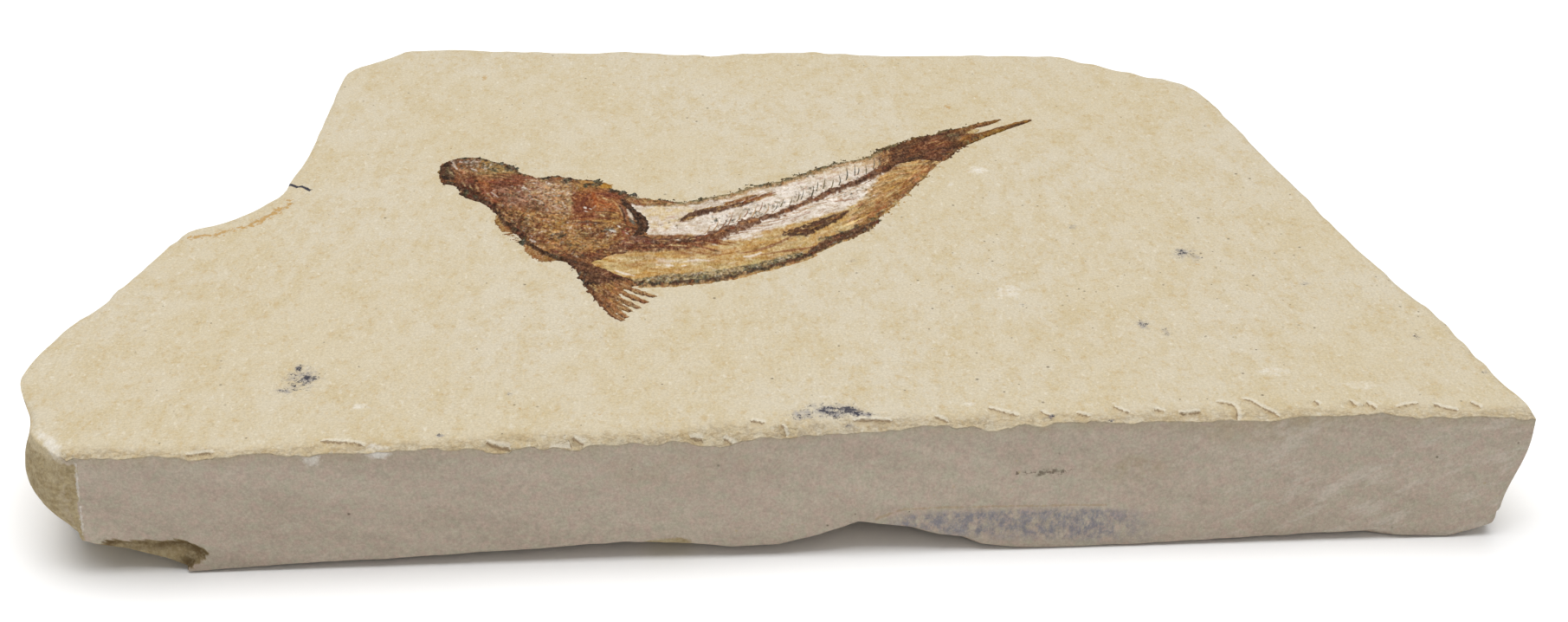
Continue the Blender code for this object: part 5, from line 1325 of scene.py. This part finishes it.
def paint_back(c, edge):
    """The back's dark edge, the reddish band behind the gill, the backbone and the loose blades."""
    c.fill(xy(654, 662, 680, 648, 710, 640, 734, 634, 750, 628, 724, 619, 690, 619, 664, 628), (RUST, MOSS), 0.9,
        0.05, 0.3, 0.4, 0.6, size=0.8)
    c.stroke(edge - (0, 0.6), (1.0, 1.6, 1.4, 0.9, 1.1, 1.4, 1.2, 1.3, 1.6, 1.4, 1.0, 1.1, 1.6), TAN * 0.85, 0.8,
        0.05, ragged=0.7)
    c.stroke(edge - (0, 0.2), (0.9, 0.8, 0.5, 0.4, 0.7, 0.9, 0.6, 0.8, 0.9, 0.8, 0.5, 0.6, 0.9), LICHEN, 0.7, 0.04,
        ragged=0.9)
    ribbon = np.vstack([edge + (0, 0.2), (edge - (0, 1.4))[::-1]])
    c.fibres(ribbon, BODY_FLOW, 620, (0.3, 1.2), (0.16, 0.34), (MOSS, LICHEN, LICHEN, SIENNA, GOLD * 0.9, BARK, TAN),
        0.6, sway=0.4)
    c.tufts(along(edge[::3], (2.6, 0.5), 12), (MOSS, BARK, LICHEN, LICHEN), (0.12, 0.26), amount=0.7)
    c.tufts([
        ((77.6, 63.6), (3, 1), 18), ((86.4, 67.9), (4, 1.2), 30), ((90.4, 69.7), (2, 1.2), 10), ((93, 71.4), (4, 1.6),
            30),
        ((96.4, 73.5), (3, 1.2), 16), ((105.2, 79), (2.4, 1), 18), ((71.4, 63.9), (5, 1), 22), ((98.6, 74.8), (2, 1),
            10),
    ], (MOSS, SLATE * 0.8, LICHEN, MOSS, SOOT), (0.12, 0.26), amount=0.75)
    c.fibres(xy(656, 658, 720, 634, 740, 624, 690, 619, 666, 630), BODY_FLOW, 130, (0.3, 1.6), (0.16, 0.34),
        (RUST, BARK, GOLD, SIENNA, MOSS, TAN), 0.75, 0.05, sway=0.4)

    c.fill(BAND, (BRICK, BARK), 0.92, rise=0.15, cover=False, soft=0.5, ragged=0.6, grain=0.7, size=0.8)
    c.wash([(GOLD, SIENNA, 0.8, 0.4, xy(686, 528, 720, 529, 770, 528, 760, 516, 700, 516))])
    c.fibres(BAND, BODY_FLOW, 330, (0.3, 1.4), (0.16, 0.36), (BRICK, UMBER, RUST, SIENNA, TAN, BARK, SOOT), 0.8, 0.06,
        sway=0.5)
    c.fibres(BAND, [(72, 51, 84)], 260, (0.2, 0.7), (0.14, 0.3), spread=(0.5, 1.9), amount=0.7, rise=0.04, sway=0.6)
    c.marks([
        (UMBER, 0.8, 738, 500, 760, 506, 776, 510), (STRAW, 0.3, 756, 508, 764, 512), (RUST, 0.5, 760, 508, 790, 500,
            816, 492),
        (RUST, 0.5, 744, 500, 774, 488, 790, 476), (SIENNA, 0.4, 730, 496, 756, 488, 776, 478), (RUST, 0.4, 780, 510,
            806, 502, 826, 494),
        (TAN, 0.35, 710, 508, 726, 506), (BONE_AND_GLINT, 0.3, 736, 510, 742, 508), (STRAW, 0.4, 728, 494, 750, 490),
    ], 0.85, 0.05)
    line = spline(BACKBONE, count=64)
    c.stroke(line, (1.6, 2.8, 2.8, 2.4, 1.5, 1.8, 1.4, 1.4, 1.5, 1.6, 1.5, 1.3, 1.4, 1.6, 1.8, 1.4), BARK * 1.25,
        0.92, 0.14, ragged=0.7, cover=False)
    for x, y in spline(BACKBONE, count=46):
        shade = (UMBER, BARK, SIENNA, BARK, RUST)[c.random.integers(5)]
        dx, dy = c.random.normal(0, 0.25, 2)
        c.stroke([(x + dx - 0.3, y + dy - 0.45), (x + dx + 0.3, y + dy + 0.4)], (0.4, c.random.uniform(0.5, 1.1),
            0.3), shade, 0.85, 0.07, 0.5, cover=False)
    c.fibres(np.vstack([line + (-0.4, 0.9), (line + (0.4, -0.9))[::-1]]), [(90, 60, 60)], 420, (0.2, 1.0),
        (0.14, 0.3), (UMBER, RUST, SIENNA, BARK, UMBER, BARK, TAN), 0.7, 0.05, sway=0.9)
    for path, widths, shades in BLADES:
        c.stroke(spline(path, count=14), widths, shades[0], 0.95, 0.16, ragged=0.4, cover=False)
        outline = np.asarray(path)
        spread = np.vstack([outline + (-0.35, 0.55), (outline + (0.35, -0.5))[::-1]])
        heading = math.degrees(math.atan2(path[-1][1] - path[0][1], path[-1][0] - path[0][0]))
        c.fibres(spread, [(0, 0, heading)], 44, (0.6, 2.4), (0.14, 0.3), (*shades, SIENNA, UMBER, GOLD), 0.75, 0.05)
    c.marks([(GOLD, 0.35, 770, 602, 790, 610, 810, 616), (TAN, 0.5, 914, 534, 924, 536), (BARK, 0.9, 902, 532, 914,
        530, 926, 522),
             (SOOT, 0.3, 906, 518, 920, 517), (GOLD, 0.4, 970, 580, 994, 594), (TAN, 0.4, 984, 576, 1000, 590)])


TAIL_TRUNK = xy(
    1054, 796, 1070, 806, 1084, 814, 1102, 828, 1122, 839, 1140, 843, 1151, 848, 1158, 858, 1170, 860, 1184, 862,
    1196, 862, 1192, 846, 1204, 840, 1204, 828, 1190, 810, 1174, 790, 1162, 770, 1150, 753, 1130, 752, 1114, 756,
    1098, 752, 1076, 744, 1058, 719, 1048, 720, 1054, 736, 1062, 760, 1062, 782,
)
UPPER_LOBE = xy(
    1166, 854, 1180, 861, 1190, 866, 1206, 878, 1220, 884, 1233, 889, 1245, 895, 1257, 899, 1251, 892, 1240, 883,
    1225, 874, 1212, 868, 1200, 857, 1189, 847, 1182, 841,
)
LOWER_LOBE = xy(
    1170, 830, 1188, 835, 1203, 844, 1216, 850, 1227, 854, 1240, 863, 1252, 871, 1266, 878, 1282, 887, 1307, 896,
    1302, 889, 1284, 876, 1267, 865, 1250, 852, 1233, 840, 1217, 828, 1204, 817, 1191, 807, 1178, 798,
)
TAIL_FLOW = [(105, 76, 70), (108, 78, 60), (112, 83, 40), (114, 78, 34), (118, 85, 34), (122, 88, 30), (126, 87, 32),
    (120, 83, 38), (108, 74, 14)]


def paint_tail():
    c = Canvas((118, 81), (35.6, 13), 33, 0.14, 31)
    c.fill(xy(1186, 846, 1196, 860, 1208, 866, 1218, 864, 1218, 856, 1210, 850, 1200, 842), (BLUSH, STRAW), 0.9,
        ragged=0.2, soft=0.6)
    c.fill(TAIL_TRUNK, (UMBER * 1.2, BARK * 1.05), rise=0.15, ragged=0.4, grain=0.6)
    for lobe in (UPPER_LOBE, LOWER_LOBE):
        c.fill(spline(lobe, count=60, closed=True), (BARK * 1.2, OCHRE * 0.62), rise=0.12, ragged=0.14, grain=0.5)
    c.wash([
        (SIENNA, TAN, 0.7, 0.6, xy(1052, 790, 1068, 788, 1070, 750, 1054, 740)),
        (SIENNA, RUST, 0.6, 1.0, xy(1114, 810, 1140, 834, 1166, 836, 1164, 806, 1130, 790, 1106, 790)),
        (RUST, BARK, 0.7, 0.8, xy(1116, 764, 1144, 784, 1146, 764, 1130, 756)),
        (SLATE, LICHEN, 0.7, 0.6, xy(1168, 844, 1182, 846, 1184, 824, 1170, 820)),
        (UMBER, UMBER, 0.85, 0.6, xy(1164, 814, 1184, 820, 1190, 810, 1170, 794)),
        (UMBER, BARK, 0.8, 0.6, xy(1070, 800, 1090, 816, 1088, 760, 1072, 754)),
        (OCHRE, GOLD, 0.6, 0.5, xy(1190, 849, 1206, 853, 1210, 847, 1196, 842)),
        (OCHRE * 0.7, GOLD * 0.8, 0.6, 0.3, xy(1210, 878, 1254, 900, 1246, 888, 1220, 876)),
        (OCHRE * 0.75, GOLD * 0.85, 0.75, 0.3, xy(1250, 870, 1270, 884, 1314, 906, 1286, 880, 1260, 866)),
    ])
    for outline in (TAIL_TRUNK, UPPER_LOBE, LOWER_LOBE):
        count = 420 if outline is TAIL_TRUNK else 110
        c.fibres(outline, TAIL_FLOW, count, (0.8, 3.2), (0.16, 0.4), amount=0.7, spread=(0.6, 1.6), rise=0.05)
        c.fibres(outline, TAIL_FLOW, count // 2, (0.4, 1.6), (0.14, 0.28), (UMBER, RUST, SIENNA, BARK, UMBER, BARK),
            0.6, 0.05, sway=0.4)
        c.fibres(outline, [(115, 80, 84)], count, (0.15, 0.6), (0.14, 0.28), spread=(0.55, 1.8), amount=0.6,
            rise=0.04, sway=0.7)
    c.marks([(SOOT, 0.7, 1090, 758, 1104, 759, 1116, 764), (SOOT, 0.5, 1146, 772, 1160, 774), (TAN, 0.3, 1130, 810,
        1146, 820),
             (TAN, 0.3, 1142, 804, 1156, 816), (TAN, 0.35, 1054, 766, 1058, 780), (GOLD, 0.3, 1050, 746, 1052, 762),
             (BRICK, 0.9, 1050, 724, 1056, 734)], 0.8)
    top = spline([*TAIL_TRUNK[:9], *UPPER_LOBE[2:6]], count=40)
    c.tufts(along(top[::2], (1.4, 0.5), 12), (MOSS, BARK, LICHEN, OCHRE * 0.5), (0.12, 0.28), amount=0.7)
    low_edge = spline(xy(1150, 756, 1162, 772, 1174, 790, 1192, 810, 1206, 825, 1224, 840), count=30)
    c.tufts(along(low_edge[::3], (1.2, 0.6), 10), (BARK, UMBER, SIENNA, LICHEN), (0.12, 0.28), amount=0.7)
    c.tufts([((105.4, 79.2), (2.6, 1.2), 30), ((107.2, 80.5), (1.6, 0.8), 18), ((116.2, 85.8), (2, 0.8), 14)],
        (MOSS, LICHEN, LICHEN, BARK))
    c.fibres(xy(1046, 734, 1050, 784, 1068, 790, 1066, 744), [(106, 76, 76)], 110, (0.4, 1.8), (0.14, 0.3),
             (SIENNA, TAN, BARK, UMBER, GOLD, RUST), 0.75, cover=True, sway=0.4)
    return c


FIN_RAYS = [
    xy(602, 420, 617, 380, 636, 336, 650, 306, 664, 288), xy(607, 422, 626, 380, 646, 334, 659, 310, 669, 296),
    xy(612, 424, 632, 380, 652, 340, 665, 320, 674, 312), xy(618, 424, 640, 384, 658, 348, 674, 330, 685, 320),
    xy(624, 424, 646, 388, 666, 360, 681, 346, 695, 335), xy(632, 424, 653, 392, 674, 372, 690, 360, 706, 350),
]


def paint_pelvic_fin():
    c = Canvas((64.6, 37.4), (16, 20), 0, 0.13, 41)
    base = xy(
        582, 454, 596, 432, 602, 410, 614, 384, 622, 364, 634, 350, 650, 360, 670, 378, 684, 382, 678, 396, 660, 408,
        640, 427, 616, 448, 600, 464,
    )
    # Each ray is three strokes: a darker one on its near side and a tan one on its far side, painted shade and
    # painted highlight, with sienna down the middle.
    for ray in FIN_RAYS:
        for shift, shade in ((-0.25, BARK * 1.1), (0.24, TAN * 0.85), (0, SIENNA)):
            path = spline(np.array(ray)[1:] + (shift, shift * 0.4), count=14)
            c.stroke(path, (0.4, 0.42, 0.46, 0.5, 0.3), shade * c.random.uniform(0.85, 1.15), 0.9, 0.05, ragged=0.6)
    c.fill(base, (BARK, UMBER * 1.15), rise=0.1, ragged=0.45, grain=0.6)
    c.wash([(SIENNA, BARK * 1.2, 0.8, 0.7, xy(622, 380, 666, 390, 684, 380, 646, 346, 624, 354)),
            (UMBER, BARK, 0.6, 0.5, xy(602, 420, 620, 424, 628, 384, 614, 384)), (BRICK, BARK, 0.5, 0.5,
                xy(600, 456, 630, 446, 670, 400, 640, 414))])
    flow = [(60, 44, -50), (63, 36, -66), (66, 31, -56), (68, 34, -46), (68, 37, -36)]
    fan = [*base[:6], (64.4, 31.8), (66.4, 29.6), (68, 31.6), (69, 32.8), (71, 35.4), *base[8:]]
    c.fibres(fan, flow, 420, (0.5, 2.0), (0.14, 0.3), amount=0.7, spread=(0.55, 1.8), sway=0.2)
    lower = xy(616, 386, 660, 390, 684, 380, 700, 350, 670, 310, 646, 332)
    c.fibres(lower, flow, 170, (0.8, 2.6), (0.12, 0.26), (TAN, SIENNA, UMBER, STRAW * 0.9, BARK, GOLD), 0.65,
        sway=0.15)
    c.fibres(fan, [(64, 38, -84)], 420, (0.15, 0.6), (0.12, 0.26), spread=(0.55, 2.0), amount=0.7, rise=0.04,
        sway=0.7)
    c.tufts(along(xy(594, 436, 603, 410, 612, 388, 618, 370, 627, 350, 635, 334, 642, 322), (0.9, 1.6), 15),
        (UMBER, BARK, SIENNA * 0.8), (0.12, 0.26))
    c.tufts([((60.4, 41), (1.2, 3), 12), ((61.6, 38.6), (1, 1.4), 14)], (SOOT, UMBER, SLATE * 0.7), cover=False)
    c.tufts([((62.8, 41.8), (6, 4), 26)], (TAN, ROSE), (0.08, 0.14), False, 0.6)
    return c


def fin_rays():
    """Ridges of the fin's rays: twins that run side by side down each ray and bend back at its tip."""
    random = np.random.default_rng(44)
    strands = []
    for ray in FIN_RAYS:
        for twin in (-0.2, 0.2):
            path = np.array(ray)[2:] + (twin, twin * 0.4) + random.normal(0, 0.06, 2)
            tone = (BARK, SIENNA)[random.integers(2)] * random.uniform(0.9, 1.1)
            strands.append((path, (0.12, 0.2, 0.22, 0.12), 0.06, 0.1, (tone, TAN * random.uniform(0.7, 0.9))))
    return strands


def neural_spines():
    """Fine bones above the backbone, evenly spaced: red-brown and leaning in front, grey-green and upright behind."""
    random = np.random.default_rng(52)
    line = spline(BACKBONE, count=300)
    strands = []
    for x in np.linspace(77.8, 104.8, 25) + random.normal(0, 0.15, 25):
        share = (x - 77.8) / 27
        foot = np.array([x, np.interp(x, line[:, 0], line[:, 1]) + random.uniform(1.2, 2.4)])
        tip = foot + (0.9 - 0.7 * share + random.normal(0, 0.1), random.uniform(2.2, 4.2))
        bow = np.array([random.uniform(0.05, 0.25), random.normal(0, 0.2)])
        early = share < 0.36
        tone = (ROSE, TAN * 0.9)[random.integers(2)] if early else (LICHEN, MOSS, SLATE)[random.integers(3)] * 0.85
        thick = random.uniform(0.13, 0.2)
        strands.append(([foot, (foot + tip) / 2 + bow, tip], (thick, thick * 1.2, thick * 0.6), 0.05, 0.08,
            (tone, tone * 0.7 + BLUSH * 0.3)))
    return strands


def ribs():
    """Fine bones below the backbone, swept back."""
    random = np.random.default_rng(53)
    line = spline(BACKBONE, count=100)
    strands = []
    for share in np.linspace(0.05, 0.8, 30):
        foot = line[int(share * 99)] + (0.3, -1.1)
        reach = random.uniform(1.2, 3.2) * (1 - 0.3 * share)
        heading = math.radians(random.normal(2 + 36 * share, 8))
        tip = foot + np.array([math.cos(heading), math.sin(heading)]) * reach
        tone = (ROSE, TAN, SIENNA * 1.2, BONE_AND_GLINT)[random.integers(4)]
        strands.append(([foot, (foot + tip) / 2 + (0.1, -0.15), tip], (0.12, 0.16, 0.08), 0.06, 0.08,
            (tone, tone * 0.5 + BLUSH * 0.5)))
    return strands


# ---- Settings, operators and panel ------------------------------------------------------------------------
def tone(label, text, rgb):
    return FloatVectorProperty(
        name=label, description=text, subtype="COLOR", size=3, min=0, max=1, default=tuple(linear(*rgb))
    )


class StoneLook(bpy.types.PropertyGroup):
    """Colours of the limestone."""

    cream: tone("Cream", "Main colour of the bedding plane", (192, 180, 154))
    tan: tone("Tan", "Warmer patches", (184, 167, 130))
    pale: tone("Pale", "Greyer, lighter patches", (194, 185, 166))
    warm_fleck: tone("Warm fleck", "Small golden flecks", (178, 154, 112))
    # The white fleck colour is also the painted highlight beside the flake lines.
    white_fleck_and_highlight: tone("White fleck", "Small shell-white flecks", (210, 203, 186))
    dark_speck: tone("Dark speck", "Scattered dark grains", (84, 72, 56))
    sawn: tone("Sawn", "Main colour of the sawn face", (181, 169, 152))
    sawn_band: tone("Sawn band", "Slanting bands on the sawn face", (168, 156, 139))
    sawn_rosy: tone("Sawn rosy", "Rosy mottle on the sawn face", (181, 160, 146))
    sawn_green: tone("Sawn green", "Greenish mottle on the sawn face", (172, 166, 146))
    sawn_pale: tone("Sawn streak", "Pale streaks on the sawn face", (196, 187, 174))
    olive: tone("Olive", "Brownish-green shade under the arris", (158, 142, 112))
    # The crevice colour is painted shade: the dark lines at the flake steps and in the crazing.
    crevice_shade: tone("Crevice", "Dark lines where flakes have lifted", (122, 100, 74))
    # The scar colour is painted shadow under the lip of the flake scar, over its dark skin.
    scar: tone("Scar", "Darkest skin, under the lip of the flake scar", (92, 74, 46))
    # The weathered colour also paints the shadow in front of each flake line.
    weathered: tone("Weathered", "Older broken surfaces", (160, 136, 98))
    patina: tone("Patina", "Brown weathering skin", (172, 157, 125))
    patina_dark: tone("Dark patina", "Darker parts of the skin", (146, 128, 93))
    blue_grey: tone("Blue-grey", "Stain low on the sawn face", (122, 121, 130))
    ochre: tone("Ochre", "Iron stains", (172, 134, 74))
    chalk: tone("Chalk", "Powdery scuffs", (218, 214, 206))
    manganese: tone("Manganese", "Blue-black mineral spots", (28, 30, 50))


class FishLook(bpy.types.PropertyGroup):
    """Finish of the petrified bone."""

    sheen: FloatProperty(
        name="Roughness", description="How matt the petrified bone is", default=0.5, min=0.15, max=0.8,
            subtype="FACTOR"
    )
    golden_grain: tone("Golden grain", "Small golden grains in the bone", (190, 150, 96))
    dark_grain: tone("Dark grain", "How far small dark grains darken the bone", (178, 136, 100))


CAMERA_LENS, CAMERA_SENSOR = 47.71, 36
CAMERA_PLACE = (76.456, -211.772, 158.28)
CAMERA_TURN = (60, 0, -2.7456)  # degrees
FLOOR_HALF = 3000  # millimetres
SOFTBOX_PLACE, SOFTBOX_SIZE = (-0.05, 0, 0.85), (1, 0.8)  # metres


class StageLook(bpy.types.PropertyGroup):
    """Floor and light."""

    floor: tone("Floor", "Colour of the plain floor", (252, 252, 252))
    sky: FloatProperty(name="Sky", description="Strength of the even light from all round", default=0.36, min=0)
    key: FloatProperty(
        name="Key light", description="Power of the soft light overhead", default=9.4, min=0, subtype="POWER",
            unit="POWER"
    )


class FOSSIL_OT_stage(bpy.types.Operator):
    """Adds the floor, the soft lights and the camera"""

    bl_idname = "fossil.stage"
    bl_label = "Stage"

    def execute(self, context):
        scene, look = context.scene, context.scene.fossil_stage
        camera = bpy.data.objects.new("camera", bpy.data.cameras.new("camera"))
        camera.data.lens, camera.data.sensor_width = CAMERA_LENS, CAMERA_SENSOR
        camera.data.clip_start, camera.data.clip_end = 0.01, 20
        camera.location = placed(CAMERA_PLACE)
        camera.rotation_euler = np.radians(CAMERA_TURN)
        scene.collection.objects.link(camera)
        scene.camera = camera

        material = bpy.data.materials.new("floor_paper")
        material.use_nodes = True
        shader = material.node_tree.nodes["Principled BSDF"]
        shader.inputs["Base Color"].default_value = (*look.floor, 1)
        shader.inputs["Roughness"].default_value = 0.9
        shader.inputs["Specular IOR Level"].default_value = 0.1
        corners = (*PLAN_MIDDLE, 0) + FLOOR_HALF * np.array([(-1, -1, 0), (1, -1, 0), (1, 1, 0), (-1, 1, 0)])
        floor = new_piece("floor", corners, [(0, 1, 2, 3)])
        floor.data.materials.append(material)

        world = bpy.data.worlds.new("studio")
        world.use_nodes = True
        world.node_tree.nodes["Background"].inputs["Color"].default_value = (1, 1, 1, 1)
        world.node_tree.nodes["Background"].inputs["Strength"].default_value = look.sky
        scene.world = world
        lamp = bpy.data.lights.new("overhead_softbox", "AREA")
        lamp.shape, lamp.energy = "RECTANGLE", look.key
        lamp.size, lamp.size_y = SOFTBOX_SIZE
        softbox = bpy.data.objects.new("overhead_softbox", lamp)
        softbox.location = SOFTBOX_PLACE
        scene.collection.objects.link(softbox)
        scene.view_settings.view_transform = "Standard"
        return {"FINISHED"}


class FOSSIL_OT_limestone(bpy.types.Operator):
    """Adds the limestone slab"""

    bl_idname = "fossil.limestone"
    bl_label = "Limestone"

    def execute(self, context):
        points, quads, caps, marks = limestone_mesh()
        slab = new_piece("limestone", points, quads, caps, numbers=marks, crease=math.radians(40))
        dress(slab, limestone_material(context.scene.fossil_stone), "limestone", "limestone_slab")
        return {"FINISHED"}


class FOSSIL_OT_fish(bpy.types.Operator):
    """Adds the fish: its skull, body, tail, fin and fine bones"""

    bl_idname = "fossil.fish"
    bl_label = "Fish"

    def execute(self, context):
        material = fossil_material(context.scene.fossil_fish)
        for name, paint in (
            ("body_film", paint_body), ("skull", paint_skull), ("tail_fin", paint_tail),
            ("pelvic_fin_base", paint_pelvic_fin),
        ):
            dress(paint().piece(name), material, "fossil_bone", "fossil_fish")
        for name, strands in (("pelvic_fin_rays", fin_rays), ("neural_spines", neural_spines), ("ribs", ribs)):
            dress(strand_piece(name, strands()), material, "fossil_bone", "fossil_fish")
        return {"FINISHED"}


class FOSSIL_PT_panel(bpy.types.Panel):
    """Lists the steps that build the slab"""

    bl_label = "Fossil Fish Slab"
    bl_idname = "FOSSIL_PT_panel"
    bl_space_type = "VIEW_3D"
    bl_region_type = "UI"
    bl_category = "Fossil Slab"

    def draw(self, context):
        for step in STEPS:
            self.layout.operator(step.bl_idname)


STEPS = (FOSSIL_OT_stage, FOSSIL_OT_limestone, FOSSIL_OT_fish)
LOOKS = {"fossil_stone": StoneLook, "fossil_fish": FishLook, "fossil_stage": StageLook}


def register():
    for cls in (*LOOKS.values(), *STEPS, FOSSIL_PT_panel):
        bpy.utils.register_class(cls)
    for name, look in LOOKS.items():
        setattr(bpy.types.Scene, name, PointerProperty(type=look))


def unregister():
    for name in LOOKS:
        delattr(bpy.types.Scene, name)
    for cls in (FOSSIL_PT_panel, *STEPS, *LOOKS.values()):
        bpy.utils.unregister_class(cls)


def main():
    register()
    bpy.ops.fossil.stage()
    bpy.ops.fossil.limestone()
    bpy.ops.fossil.fish()


if __name__ == "__main__":
    main()
